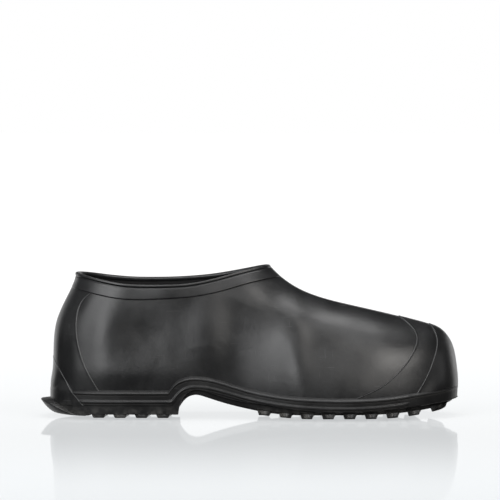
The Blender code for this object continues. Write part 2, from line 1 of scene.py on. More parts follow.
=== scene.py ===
import bpy
import numpy as np
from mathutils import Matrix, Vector


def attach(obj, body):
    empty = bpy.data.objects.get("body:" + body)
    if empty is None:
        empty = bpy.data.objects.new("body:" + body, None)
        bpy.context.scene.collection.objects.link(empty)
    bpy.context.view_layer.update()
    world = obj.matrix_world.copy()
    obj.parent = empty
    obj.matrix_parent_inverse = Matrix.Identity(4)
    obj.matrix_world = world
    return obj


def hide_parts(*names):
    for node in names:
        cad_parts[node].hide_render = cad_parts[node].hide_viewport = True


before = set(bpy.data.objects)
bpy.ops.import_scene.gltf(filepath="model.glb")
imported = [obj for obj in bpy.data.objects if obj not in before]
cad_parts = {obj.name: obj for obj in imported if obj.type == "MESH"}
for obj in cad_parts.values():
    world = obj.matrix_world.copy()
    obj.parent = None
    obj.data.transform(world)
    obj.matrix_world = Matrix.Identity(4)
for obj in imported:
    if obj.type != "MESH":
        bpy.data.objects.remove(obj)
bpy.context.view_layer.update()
print("frame loaded:", sorted(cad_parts))

# Sizes of the shoe in metres, the same as its solids
shoe = {
    "length": 0.325,
    "ballWidth": 0.105,
    "throatHeight": 0.116,
    "throatFromToe": 0.1453,
    "heelTopLean": 0.018,
    "upperWall": 0.0022,
    "overlay": 0.0008,
    "seatGap": 0.0005,
    "soleWall": 0.0013,
    "tabReach": 0.0078,
    "tabTipHeight": 0.0117,
    "toeLip": 0.0008,
    "heelRound": 0.046,
    "toeRound": 0.080,
    "archPower": 2.2,
    "breadthPower": 2.4,
    "planPower": 2.25,
    "tuck": 0.10,
    "tuckHeight": 0.040,
    "ridgeShift": 0.005,
    "sideHeight": 0.0314,
    "crowding": 0.4,
}
heelX = -shoe["length"] / 2 + shoe["tabReach"] + shoe["seatGap"] + shoe["soleWall"]
toeX = shoe["length"] / 2 - shoe["toeLip"] - shoe["seatGap"] - shoe["soleWall"]
throatX = toeX - shoe["throatFromToe"]

# Front profile: height as a share of the throat's, reach as a share of the way from throat to toe
frontProfile = (
    (0.00, 0.985), (0.13, 1.000), (0.30, 1.000), (0.40, 0.994), (0.47, 0.977), (0.52, 0.953),
    (0.56, 0.922), (0.585, 0.885), (0.61, 0.820), (0.65, 0.700), (0.70, 0.535), (0.745, 0.375),
    (0.78, 0.272), (0.825, 0.178), (0.88, 0.103), (0.94, 0.044), (1.00, 0.000), (1.10, -0.072),
    (1.22, -0.180), (1.36, -0.340), (1.43, -0.520), (1.45, -1.200),
)

# Heel profile: height as a share of the throat's, lean forward as a share of the heel's lean
heelProfile = (
    (0.00, 0.06), (0.10, 0.00), (0.24, 0.02), (0.37, 0.04), (0.47, 0.05), (0.54, 0.08), (0.61, 0.15),
    (0.67, 0.28), (0.73, 0.45), (0.80, 0.68), (0.87, 0.91), (0.95, 1.10), (1.45, 1.24),
)

# Plan: place along the skin, outer and inner side as shares of half the ball's width
planSides = (
    (0.00, -0.720, 0.720), (0.10, -0.742, 0.735), (0.19, -0.765, 0.725), (0.27, -0.768, 0.695),
    (0.35, -0.755, 0.666), (0.43, -0.752, 0.665), (0.48, -0.780, 0.692), (0.53, -0.848, 0.740),
    (0.57, -0.925, 0.796), (0.60, -0.985, 0.832), (0.62, -1.008, 0.856), (0.66, -1.018, 0.902),
    (0.72, -1.022, 0.955), (0.80, -0.996, 1.010), (0.90, -0.920, 1.062), (1.00, -0.855, 1.085),
)

# Topline: share of the way from heel top to throat, outer and inner side as shares of the throat's height
topline = (
    (0.000, 0.951, 0.951), (0.073, 0.932, 0.938), (0.150, 0.908, 0.920), (0.230, 0.890, 0.909),
    (0.310, 0.881, 0.901), (0.490, 0.879, 0.903), (0.592, 0.887, 0.911), (0.696, 0.912, 0.922),
    (0.800, 0.947, 0.945), (0.904, 0.978, 0.972), (1.000, 1.000, 1.000),
)

# Sole from the heel breast forward: place as a share of the length, edge and keel as shares of the side's
# height
soleFront = (
    (0.3320, 0.270, 0.230), (0.3390, 0.462, 0.350), (0.3486, 0.599, 0.478), (0.3606, 0.675, 0.548),
    (0.3750, 0.697, 0.573), (0.3942, 0.656, 0.510), (0.4159, 0.580, 0.430), (0.4519, 0.449, 0.312),
    (0.5000, 0.373, 0.197), (0.5480, 0.325, 0.102), (0.5960, 0.236, 0.075), (0.6680, 0.172, 0.073),
    (0.7404, 0.162, 0.073), (0.8125, 0.197, 0.080), (0.8846, 0.280, 0.130), (0.9327, 0.325, 0.190),
    (0.9688, 0.375, 0.270), (1.0000, 0.430, 0.370),
)

# Floor inside the sole: place as a share of the length, height as a share of the side's height
innerFloor = (
    (0.000, 0.260), (0.100, 0.255), (0.220, 0.255), (0.290, 0.262), (0.325, 0.370), (0.345, 0.610),
    (0.365, 0.770), (0.385, 0.790), (0.416, 0.710), (0.452, 0.580), (0.500, 0.470), (0.548, 0.415),
    (0.596, 0.345), (0.668, 0.290), (0.740, 0.287), (0.812, 0.320), (0.885, 0.415), (0.933, 0.480),
    (0.969, 0.530), (1.000, 0.580),
)

# Ribs from their corners forward: place as a share of the length, both heights as shares of the side's height
ribsFront = (
    (0.3053, 0.628, 0.414), (0.3115, 0.715, 0.414), (0.3173, 0.800, 0.470), (0.3245, 0.873, 0.570),
    (0.3317, 0.920, 0.660), (0.3413, 0.965, 0.735), (0.3558, 0.996, 0.800), (0.3726, 1.000, 0.815),
    (0.3918, 0.984, 0.797), (0.4159, 0.938, 0.748), (0.4519, 0.825, 0.648), (0.5000, 0.675, 0.505),
    (0.5480, 0.590, 0.418), (0.5960, 0.530, 0.361), (0.6680, 0.485, 0.306), (0.7404, 0.478, 0.299),
    (0.7885, 0.497, 0.318), (0.8365, 0.530, 0.359), (0.8846, 0.592, 0.413), (0.9327, 0.648, 0.466),
    (0.9688, 0.700, 0.510), (1.0000, 0.715, 0.530),
)

# Edges of the sheets: height as a share of the throat's, place as a share of the length
counterEdge = (
    (0.120, 0.1580), (0.215, 0.1360), (0.360, 0.1070), (0.515, 0.0920), (0.620, 0.0895),
    (0.730, 0.0940), (0.800, 0.1100), (0.850, 0.1360), (0.900, 0.1700),
)
capEdge = (
    (0.110, 0.7200), (0.155, 0.7650), (0.200, 0.8020), (0.262, 0.8350), (0.369, 0.8700),
    (0.455, 0.8900), (0.520, 0.8966), (0.560, 0.8920), (0.610, 0.8780), (0.650, 0.8550),
)
toeGuardEdge = (
    (0.110, 0.8770), (0.165, 0.8930), (0.230, 0.9080), (0.310, 0.9240), (0.430, 0.9400),
    (0.483, 0.9435), (0.530, 0.9420), (0.575, 0.9350), (0.625, 0.9180),
)
heelGuardEdge = (
    (0.060, 0.1160), (0.180, 0.0790), (0.300, 0.0530), (0.430, 0.0240), (0.520, 0.0080),
)


# A table as a smooth curve: a uniform cubic B-spline over its rows that keeps both end rows
def smoothRows(rows, samples=900):
    rows = np.array(rows, float)
    rows = np.vstack([2 * rows[0] - rows[1], rows, 2 * rows[-1] - rows[-2]])
    place = np.linspace(0, len(rows) - 3, samples)
    first = np.minimum(place.astype(int), len(rows) - 4)
    t = (place - first)[:, None]
    weights = (
        (1 - t) ** 3 / 6,
        (3 * t**3 - 6 * t**2 + 4) / 6,
        (-3 * t**3 + 3 * t**2 + 3 * t + 1) / 6,
        t**3 / 6,
    )
    return sum(weight * rows[first + k] for k, weight in enumerate(weights))


frontCurve = smoothRows(frontProfile)
heelCurve = smoothRows(heelProfile)
planCurve = smoothRows(planSides)
toplineCurve = smoothRows(topline)
soleCurve = smoothRows(soleFront)
floorCurve = smoothRows(innerFloor)
ribsCurve = smoothRows(ribsFront)
frontWidest = int(np.argmax(frontCurve[:, 1]))


# 0 below the first value, 1 above the second, easing in and out between them
def ease(value, first, last):
    t = np.clip((value - first) / (last - first), 0, 1)
    return t * t * (3 - 2 * t)


# Where the front profile is at a height: the profile's reach times the way from throat to toe
def frontAt(z):
    reach = np.interp(z / shoe["throatHeight"], frontCurve[:, 0], frontCurve[:, 1])
    return throatX + shoe["throatFromToe"] * reach


# Where the heel profile is at a height: the profile's lean times the heel's lean
def heelAt(z):
    lean = np.interp(z / shoe["throatHeight"], heelCurve[:, 0], heelCurve[:, 1])
    return heelX + shoe["heelTopLean"] * lean


# Height of the ridge over the foot: the front profile read the other way round
def ridgeAt(x):
    branch = frontCurve[frontWidest:][::-1]
    return shoe["throatHeight"] * np.interp((x - throatX) / shoe["throatFromToe"], branch[:, 1], branch[:, 0])


# Rounded end of a plan: a quarter of a superellipse, 0 at the end, 1 from a share of 1 on
def endRound(share):
    return (1 - (1 - np.clip(share, 0, 1)) ** shoe["planPower"]) ** (1 / shoe["planPower"])


# Two roundings as one, which closes as smoothly as either where both come to 0
def bothRound(first, second):
    mixed = first**2 + second**2 - (first * second) ** 2
    return first * second / np.sqrt(np.maximum(mixed, 1e-12))


# Skin: x runs from heel to toe profile by the cosine of the angle; half width is the plan's half width
# times the heel's rounding times the toe's rounding joined with the arch over the foot
def rawSkin(angle, z):
    angle, z = np.broadcast_arrays(angle, z)
    back, front = heelAt(z), frontAt(z)
    x = back + (front - back) * (1 - np.cos(angle)) / 2
    rise = np.clip(z / ridgeAt(x), 0, 1)
    arch = (1 - rise ** shoe["archPower"]) ** (1 / shoe["breadthPower"])
    tuck = 1 - shoe["tuck"] * np.clip(1 - z / shoe["tuckHeight"], 0, 1) ** 2
    share = (x - heelX) / (toeX - heelX)
    outer = shoe["ballWidth"] / 2 * np.interp(share, planCurve[:, 0], planCurve[:, 1])
    inner = shoe["ballWidth"] / 2 * np.interp(share, planCurve[:, 0], planCurve[:, 2])
    toe = bothRound(arch, endRound((front - x) / shoe["toeRound"]))
    width = (inner - outer) / 2 * tuck * endRound((x - back) / shoe["heelRound"]) * toe
    y = (inner + outer) / 2 + shoe["ridgeShift"] * rise**2 + np.sign(np.sin(angle)) * width
    return np.stack([x, y, z], axis=-1)


# Sideways shift that centres the shoe's box
def sideShift():
    angle = np.linspace(-np.pi, np.pi, 721)[:, None]
    y = rawSkin(angle, np.linspace(0.1, 0.6, 26) * shoe["throatHeight"])[..., 1]
    return -(y.max() + y.min()) / 2


centreShift = sideShift()

# Soft forms left by the last and by wear: x, z, reach along x, reach along z, lean in degrees, height out of
# the skin, all in millimetres; side -1 is the outer side, 1 the inner, 0 both
softForms = (
    (-78.0, 64.0, 11.0, 12.0, 0, -1.3, -1),
    (-112.0, 66.0, 10.0, 18.0, 8, 0.5, -1),
    (-61.0, 99.0, 13.0, 8.0, 0, 1.6, -1),
    (-31.0, 72.0, 12.0, 20.0, 0, 2.4, -1),
    (-18.0, 68.0, 8.0, 20.0, 0, -0.6, -1),
    (-3.0, 98.0, 13.0, 9.0, 0, 2.1, -1),
    (-78.0, 36.0, 30.0, 8.5, 0, 1.5, -1),
    (-18.0, 50.0, 26.0, 9.0, 0, 0.6, -1),
    (-48.0, 53.0, 3.4, 1.9, -10, 0.14, -1),
    (-39.0, 55.0, 3.0, 1.8, -10, 0.13, -1),
    (-30.0, 55.5, 3.0, 1.9, -10, 0.15, -1),
    (-21.5, 59.0, 3.0, 2.0, -15, 0.15, -1),
    (31.0, 58.0, 9.0, 21.0, 10, 1.1, -1),
    (50.0, 54.0, 9.0, 18.0, 10, -0.7, -1),
    (86.0, 52.0, 18.0, 11.0, 20, -0.4, -1),
    (74.0, 38.0, 12.0, 7.0, -10, -0.3, -1),
    (70.0, 62.0, 9.0, 6.0, 0, -0.28, -1),
    (101.0, 60.0, 7.0, 10.0, 0, 0.30, -1),
    (60.0, 84.0, 12.0, 6.0, -20, -0.35, -1),
    (-88.0, 62.0, 15.0, 12.0, 0, -0.7, 1),
    (-34.0, 66.0, 13.0, 20.0, 0, 0.9, 1),
    (30.0, 66.0, 9.0, 20.0, 15, -0.7, 1),
    (96.0, 50.0, 16.0, 12.0, 0, -0.4, 1),
)


# Sum of soft hills and hollows: each a Gaussian of the leaned distance from its middle, on its own side
def softForm(angle, x, z):
    px, pz, rx, rz, lean, out, side = np.array(softForms).T[:, :, None]
    lean = np.radians(lean)
    dx, dz = x.ravel() * 1000 - px, z.ravel() * 1000 - pz
    along = (dx * np.cos(lean) + dz * np.sin(lean)) / rx
    across = (dz * np.cos(lean) - dx * np.sin(lean)) / rz
    there = ease(side * np.sin(angle.ravel()), 0, 0.25)
    return (out * there * np.exp(-(along**2 + across**2) / 2)).sum(axis=0).reshape(x.shape) / 1000


# Point at a distance outside the skin, along its normal, with the soft forms added
def skin(angle, z, out=0.0):
    angle, z = np.broadcast_arrays(angle, z)
    stepAngle, stepZ = 2e-3, 5e-5
    point = rawSkin(angle, z)
    along = rawSkin(angle + stepAngle, z) - rawSkin(angle - stepAngle, z)
    up = rawSkin(angle, z + stepZ) - rawSkin(angle, z - stepZ)
    normal = np.cross(up, along)
    normal /= np.linalg.norm(normal, axis=-1, keepdims=True)
    away = np.asarray(out) + softForm(angle, point[..., 0], z)
    return point + away[..., None] * normal + (0, centreShift, 0)


# Angle, between 0 and pi, at which the skin's loop at a height reaches a place
def angleAt(x, z):
    share = np.clip((x - heelAt(z)) / (frontAt(z) - heelAt(z)), 0, 1)
    return np.arccos(1 - 2 * share)


# Height of the collar's top at an angle, settled on the topline's table
def toplineAt(angle):
    heelTop = heelAt(topline[0][1] * shoe["throatHeight"])
    z = np.full(np.shape(angle), 0.93 * shoe["throatHeight"])
    for _ in range(60):
        share = (rawSkin(angle, z)[..., 0] - heelTop) / (throatX - heelTop)
        outer = np.interp(share, toplineCurve[:, 0], toplineCurve[:, 1])
        inner = np.interp(share, toplineCurve[:, 0], toplineCurve[:, 2])
        z = 0.5 * z + 0.5 * shoe["throatHeight"] * np.where(np.asarray(angle) < 0, outer, inner)
    return z


# Height of the floor inside the sole: the table's share times the side's height
def floorAt(x):
    return shoe["sideHeight"] * np.interp(x / shoe["length"] + 0.5, floorCurve[:, 0], floorCurve[:, 1])


# Length run down each column of points, from 0 in the first row
def runAlong(points):
    length = np.linalg.norm(np.diff(points, axis=0), axis=-1)
    return np.vstack([np.zeros((1, length.shape[1])), np.cumsum(length, axis=0)])


# Height that lies a distance down the skin from the collar's top
def belowCollar(angle, depths):
    top = toplineAt(angle)
    fine = top - np.linspace(-0.001, 0.04, 160)[:, None]
    run = runAlong(rawSkin(np.broadcast_to(angle, fine.shape), fine))
    start = np.array([np.interp(top[k], fine[::-1, k], run[::-1, k]) for k in range(len(top))])
    return np.stack([[np.interp(start[k] + depth, run[:, k], fine[:, k]) for k in range(len(top))]
                     for depth in depths])


# Angles from heel to toe, crowded at both ends: even steps less a share of a sine wave
def crowdedAngles(steps):
    share = np.linspace(0, 1, steps + 1)
    return np.pi * (share - shoe["crowding"] * np.sin(2 * np.pi * share) / (2 * np.pi))


# The same angles all the way round
def roundAngles(steps):
    half = crowdedAngles(steps)
    return np.concatenate([half, -half[-2:0:-1]])


# Rows of angles and heights from one line on the skin to another: some lie at set lengths from the first,
# some at set lengths back from the last, and even rows fill what is between
def rowsBetween(firstAngle, firstZ, lastAngle, lastZ, nearFirst, evenRows, nearLast):
    share = np.linspace(0, 1, 300)[:, None]
    run = runAlong(rawSkin(firstAngle + (lastAngle - firstAngle) * share, firstZ + (lastZ - firstZ) * share))
    total = run[-1]
    low, high = np.minimum(nearFirst[-1], total * 0.4), total - np.minimum(nearLast[-1], total * 0.4)
    fill = low + (high - low) * np.linspace(0, 1, evenRows + 2)[1:-1, None]
    scaleFirst, scaleLast = low / nearFirst[-1], (total - high) / nearLast[-1]
    place = np.vstack([np.array(nearFirst)[:, None] * scaleFirst, fill,
                       total - np.array(nearLast)[::-1, None] * scaleLast])
    share = np.stack([np.interp(place[:, k], run[:, k], share[:, 0]) for k in range(run.shape[1])], axis=1)
    return firstAngle + (lastAngle - firstAngle) * share, firstZ + (lastZ - firstZ) * share, place, total


# Quads of a grid of points numbered row by row, the rows or columns closed into a loop where asked
def gridQuads(rows, columns, closeRows=False, closeColumns=False, first=0):
    r = np.arange(rows if closeRows else rows - 1)[:, None]
    c = np.arange(columns if closeColumns else columns - 1)[None, :]
    r2, c2 = (r + 1) % rows, (c + 1) % columns
    quads = np.stack([r * columns + c, r * columns + c2, r2 * columns + c2, r2 * columns + c], axis=-1)
    return first + quads.reshape(-1, 4)


# Puts points and quads into a mesh object; marks are float attributes, one value a point
def addPiece(name, points, quads, materials, marks=None, slotOfQuad=None):
    points = np.ascontiguousarray(points.reshape(-1, 3), np.float32)
    mesh = bpy.data.meshes.new(name)
    mesh.vertices.add(len(points))
    mesh.vertices.foreach_set("co", points.ravel())
    mesh.loops.add(quads.size)
    mesh.loops.foreach_set("vertex_index", quads.astype(np.int32).ravel())
    mesh.polygons.add(len(quads))
    mesh.polygons.foreach_set("loop_start", np.arange(0, quads.size, 4, dtype=np.int32))
    mesh.polygons.foreach_set("use_smooth", np.ones(len(quads), bool))
    for material in materials:
        mesh.materials.append(material)
    if slotOfQuad is not None:
        mesh.polygons.foreach_set("material_index", np.asarray(slotOfQuad, np.int32))
    mesh.update(calc_edges=True)
    for mark, values in (marks or {}).items():
        attribute = mesh.attributes.new(mark, "FLOAT", "POINT")
        spread = np.broadcast_to(values, (len(points),))
        attribute.data.foreach_set("value", np.ascontiguousarray(spread, np.float32))
    mesh.validate()
    piece = bpy.data.objects.new(name, mesh)
    bpy.context.scene.collection.objects.link(piece)
    return piece


# Turns every quad round where the closed shell's volume comes out negative
def outward(points, quads):
    a, b, c, d = (points.reshape(-1, 3)[quads[:, k]] for k in range(4))
    volume = (np.einsum("ij,ij->i", a, np.cross(b, c)) + np.einsum("ij,ij->i", a, np.cross(c, d))).sum()
    return quads if volume > 0 else quads[:, ::-1]


# Shader group that takes a place and its own numbers, and puts out one value
def newGroup(name, output, **numbers):
    group = bpy.data.node_groups.new(name, "ShaderNodeTree")
    group.interface.new_socket("Place", in_out="INPUT", socket_type="NodeSocketVector")
    for label, value in numbers.items():
        socket = group.interface.new_socket(label, in_out="INPUT", socket_type="NodeSocketFloat")
        socket.default_value = value
    group.interface.new_socket(output, in_out="OUTPUT", socket_type="NodeSocketFloat")
    return group, group.nodes.new("NodeGroupInput"), group.nodes.new("NodeGroupOutput")


# Links a socket to another node's output, or sets it where the value is plain
def feed(tree, value, socket):
    if hasattr(value, "links"):
        tree.links.new(value, socket)
    else:
        socket.default_value = value


# One sum on two values
def mathNode(tree, operation, first, second, clamp=False):
    node = tree.nodes.new("ShaderNodeMath")
    node.operation, node.use_clamp = operation, clamp
    feed(tree, first, node.inputs[0])
    feed(tree, second, node.inputs[1])
    return node.outputs[0]


# Cloudy noise at a place
def noiseNode(tree, place, scale, detail=3.0, rough=0.55, distortion=0.0):
    node = tree.nodes.new("ShaderNodeTexNoise")
    tree.links.new(place, node.inputs["Vector"])
    feed(tree, scale, node.inputs["Scale"])
    node.inputs["Detail"].default_value = detail
    node.inputs["Roughness"].default_value = rough
    node.inputs["Distortion"].default_value = distortion
    return node.outputs["Fac"]


# A value between two limits carried over to two other limits, easing at both ends where smooth
def rangeNode(tree, value, low, high, outLow=0.0, outHigh=1.0, smooth=True):
    node = tree.nodes.new("ShaderNodeMapRange")
    node.interpolation_type = "SMOOTHSTEP" if smooth else "LINEAR"
    tree.links.new(value, node.inputs["Value"])
    for label, number in (("From Min", low), ("From Max", high), ("To Min", outLow), ("To Max", outHigh)):
        feed(tree, number, node.inputs[label])
    return node.outputs["Result"]


# A place turned and stretched
def scaledPlace(tree, place, scale, turn):
    node = tree.nodes.new("ShaderNodeMapping")
    tree.links.new(place, node.inputs["Vector"])
    node.inputs["Scale"].default_value = scale
    node.inputs["Rotation"].default_value = turn
    return node.outputs["Vector"]


# Moulded grain: fine pebble height over a slow swell, as a height for bump
def makeGrainGroup():
    group, into, out = newGroup("mouldedGrain", "Height", Pebble=1.0, Swell=1.0)
    pebble = noiseNode(group, into.outputs["Place"], 2600.0, 2.0, 0.6)
    swell = noiseNode(group, into.outputs["Place"], 62.0, 3.0, 0.5, 0.4)
    fine = mathNode(group, "MULTIPLY", pebble, into.outputs["Pebble"])
    slow = mathNode(group, "MULTIPLY", swell, into.outputs["Swell"])
    group.links.new(mathNode(group, "ADD", fine, slow), out.inputs["Height"])
    return group


# Bloom: cloudy grey film that rubber sweats out, stronger in drifts, as a mask
def makeBloomGroup():
    group, into, out = newGroup("rubberBloom", "Mask", Scale=22.0)
    cloud = noiseNode(group, into.outputs["Place"], into.outputs["Scale"], 5.0, 0.62, 0.6)
    fine = noiseNode(group, into.outputs["Place"], 420.0, 3.0, 0.6)
    drift = rangeNode(group, cloud, 0.36, 0.70)
    speckle = rangeNode(group, fine, 0.30, 0.75, 0.7, 1.15)
    group.links.new(mathNode(group, "MULTIPLY", drift, speckle, True), out.inputs["Mask"])
    return group


# Rub marks: short thin scratches that run along the shoe and a few up it, as a mask
def makeRubGroup():
    group, into, out = newGroup("rubMarks", "Mask", Amount=0.5)
    marks = []
    for scale, turn, low in (((60, 60, 1500), (0, 0.05, 0), 0.66), ((1300, 60, 70), (0, -0.12, 0), 0.69)):
        place = scaledPlace(group, into.outputs["Place"], scale, turn)
        marks.append(rangeNode(group, noiseNode(group, place, 1.0, 2.0, 0.5), low, low + 0.08))
    where = rangeNode(group, noiseNode(group, into.outputs["Place"], 30.0, 2.0), 0.48, 0.62)
    both = mathNode(group, "MAXIMUM", *marks)
    thinned = mathNode(group, "MULTIPLY", both, where)
    group.links.new(mathNode(group, "MULTIPLY", thinned, into.outputs["Amount"], True), out.inputs["Mask"])
    return group


# Dust: grey film low on the piece and in its corners, broken up by noise, as a mask
def makeDustGroup():
    group, into, out = newGroup("settledDust", "Mask", Corner=0.0, Top=0.03)
    split = group.nodes.new("ShaderNodeSeparateXYZ")
    group.links.new(into.outputs["Place"], split.inputs[0])
    low = rangeNode(group, split.outputs["Z"], into.outputs["Top"], 0.0)
    patches = rangeNode(group, noiseNode(group, into.outputs["Place"], 140.0, 4.0, 0.65), 0.42, 0.70)
    film = mathNode(group, "MULTIPLY", low, patches)
    group.links.new(mathNode(group, "ADD", film, into.outputs["Corner"], True), out.inputs["Mask"])
    return group


grainGroup = makeGrainGroup()
bloomGroup = makeBloomGroup()
rubGroup = makeRubGroup()
dustGroup = makeDustGroup()

# What wear and dust do to every finish; the edge share and wear colour also lay a painted highlight along the
# sheets' edges
wear = {"edgeShare": 0.55, "cornerShare": 0.5, "colour": (0.085, 0.086, 0.088),
        "dustColour": (0.16, 0.155, 0.145), "dustRough": 0.15, "bumpDistance": 0.001}

# Finishes: base colour, bloom colour and how much of it, roughness from polished to bloomed, coat, grain
finishes = {
    "upperRubber": {
        "base": (0.0070, 0.0072, 0.0077), "bloom": (0.022, 0.0224, 0.0235), "bloomShare": 0.42,
        "bloomScale": 24.0, "rough": (0.31, 0.42), "coat": 0.10, "coatRough": 0.30,
        "pebble": 1.0, "swell": 13.0, "bump": 0.035, "rub": 0.35,
        "dust": 0.12, "dustTop": 0.03, "specular": 0.5,
    },
    "bandRubber": {
        "base": (0.0075, 0.0077, 0.0083), "bloom": (0.024, 0.0247, 0.026), "bloomShare": 0.40,
        "bloomScale": 34.0, "rough": (0.31, 0.41), "coat": 0.10, "coatRough": 0.30,
        "pebble": 1.0, "swell": 8.0, "bump": 0.030, "rub": 0.30,
        "dust": 0.0, "dustTop": 0.01, "specular": 0.5,
    },
    "sheetRubber": {
        "base": (0.0066, 0.0068, 0.0073), "bloom": (0.022, 0.0224, 0.0235), "bloomShare": 0.40,
        "bloomScale": 26.0, "rough": (0.31, 0.41), "coat": 0.10, "coatRough": 0.30,
        "pebble": 1.0, "swell": 10.0, "bump": 0.032, "rub": 0.40,
        "dust": 0.12, "dustTop": 0.03, "specular": 0.5,
    },
    "soleRubber": {
        "base": (0.0062, 0.0063, 0.0067), "bloom": (0.022, 0.022, 0.0225), "bloomShare": 0.34,
        "bloomScale": 40.0, "rough": (0.38, 0.52), "coat": 0.05, "coatRough": 0.35,
        "pebble": 1.4, "swell": 4.0, "bump": 0.045, "rub": 0.35,
        "dust": 0.35, "dustTop": 0.012, "specular": 0.5,
    },
    "liningRubber": {
        "base": (0.0060, 0.0060, 0.0063), "bloom": (0.020, 0.020, 0.021), "bloomShare": 0.25,
        "bloomScale": 60.0, "rough": (0.70, 0.85), "coat": 0.0, "coatRough": 0.4,
        "pebble": 2.5, "swell": 3.0, "bump": 0.08, "rub": 0.0,
        "dust": 0.0, "dustTop": 0.01, "specular": 0.3,
    },
}


# A shader group set in a material with its own values
def placeGroup(tree, group, **values):
    node = tree.nodes.new("ShaderNodeGroup")
    node.node_tree = group
    for label, value in values.items():
        feed(tree, value, node.inputs[label])
    return node.outputs[0]


# Two colours mixed by a share of the second
def mixColour(tree, share, first, second):
    node = tree.nodes.new("ShaderNodeMix")
    node.data_type = "RGBA"
    tree.links.new(share, node.inputs["Factor"])
    for label, value in (("A", first), ("B", second)):
        socket = [s for s in node.inputs if s.name == label and s.type == "RGBA"][0]
        feed(tree, value if hasattr(value, "links") else (*value, 1), socket)
    return [s for s in node.outputs if s.type == "RGBA"][0]


# Black rubber: base colour greyed by bloom, lighter at the marked edges (worn on most pieces, a painted
# highlight along the sheets' edges), dusted in the marked corners; roughness rises with bloom and dust, and
# the grain gives the bump
def makeRubber(name):
    look = finishes[name]
    material = bpy.data.materials.new(name)
    material.use_nodes = True
    tree = material.node_tree
    shader = tree.nodes["Principled BSDF"]
    place = tree.nodes.new("ShaderNodeTexCoord").outputs["Object"]
    edge = tree.nodes.new("ShaderNodeAttribute")
    edge.attribute_name = "edge"
    corner = tree.nodes.new("ShaderNodeAttribute")
    corner.attribute_name = "corner"
    bloom = placeGroup(tree, bloomGroup, Place=place, Scale=look["bloomScale"])
    rub = placeGroup(tree, rubGroup, Place=place, Amount=look["rub"])
    cornerDust = mathNode(tree, "MULTIPLY", corner.outputs["Fac"], wear["cornerShare"])
    dust = placeGroup(tree, dustGroup, Place=place, Corner=cornerDust, Top=look["dustTop"])
    bloomShare = mathNode(tree, "MULTIPLY", bloom, look["bloomShare"])
    # The edge mark lightens toward the wear colour: real wear on the collar, sole and lugs, and a painted
    # highlight along the sheets' edges
    edgeWearAndHighlight = mathNode(tree, "MULTIPLY", edge.outputs["Fac"], wear["edgeShare"])
    worn = mathNode(tree, "MAXIMUM", edgeWearAndHighlight, rub)
    colour = mixColour(tree, bloomShare, look["base"], look["bloom"])
    colour = mixColour(tree, worn, colour, wear["colour"])
    colour = mixColour(tree, mathNode(tree, "MULTIPLY", dust, look["dust"]), colour, wear["dustColour"])
    tree.links.new(colour, shader.inputs["Base Color"])
    rough = rangeNode(tree, bloom, 0.0, 1.0, *look["rough"], smooth=False)
    rough = mathNode(tree, "ADD", rough, mathNode(tree, "MULTIPLY", dust, wear["dustRough"]), True)
    tree.links.new(rough, shader.inputs["Roughness"])
    shader.inputs["Specular IOR Level"].default_value = look["specular"]
    shader.inputs["Coat Weight"].default_value = look["coat"]
    shader.inputs["Coat Roughness"].default_value = look["coatRough"]
    bump = tree.nodes.new("ShaderNodeBump")
    bump.inputs["Strength"].default_value = look["bump"]
    bump.inputs["Distance"].default_value = wear["bumpDistance"]
    tree.links.new(placeGroup(tree, grainGroup, Place=place, Pebble=look["pebble"], Swell=look["swell"]),
                   bump.inputs["Height"])
    tree.links.new(bump.outputs["Normal"], shader.inputs["Normal"])
    return material


upperRubber = makeRubber("upperRubber")
bandRubber = makeRubber("bandRubber")
sheetRubber = makeRubber("sheetRubber")
soleRubber = makeRubber("soleRubber")
liningRubber = makeRubber("liningRubber")
print("finishes ready")

upperShell = {"columns": 210, "outerRows": 96, "innerRows": 30, "footLevel": 0.0137, "nearEnd": 0.0004}


# Upper: the skin with its soft forms from its foot on the sole's floor to just under the collar's top,
# and the inner wall a wall's thickness inside, joined at foot and top
def makeUpper():
    angle = roundAngles(upperShell["columns"])
    top = belowCollar(angle, (shoe["seatGap"] + shoe["overlay"],))[0]
    foot = floorAt(rawSkin(angle, upperShell["footLevel"])[..., 0]) + 2 * shoe["seatGap"]
    nearEnds = np.linspace(0, upperShell["nearEnd"], 2)
    angles, z, _, _ = rowsBetween(angle, foot, angle, top, nearEnds, upperShell["outerRows"], nearEnds)
    outer = skin(angles, z)
    anglesIn, zIn, _, _ = rowsBetween(angle, foot, angle, top, nearEnds, upperShell["innerRows"], nearEnds)
    inner = skin(anglesIn, zIn, np.full(zIn.shape, -shoe["upperWall"]))
    inner[0, :, 2] = outer[0, :, 2]
    points = np.concatenate([outer, inner[::-1]])
    quads = outward(points, gridQuads(len(points), len(angle), True, True))
    inside = (quads // len(angle)).max(axis=1) >= len(outer)
    marks = {"edge": 0.0, "corner": 0.0}
    return addPiece("upper_skin", points, quads, (upperRubber, liningRubber), marks, inside)


collar = {"columns": 230, "width": 0.0127, "beadHeight": 0.0030, "beadProud": 0.0007, "turnIn": 0.0030,
          "fade": 0.75, "fadeAngle": 0.55, "heelFade": 0.35, "heelFadeAngle": 0.32, "groove": 0.00035,
          "grooveWidth": 0.00055, "edgeRound": 0.0009, "embed": -0.0003, "liningOut": 0.0012}


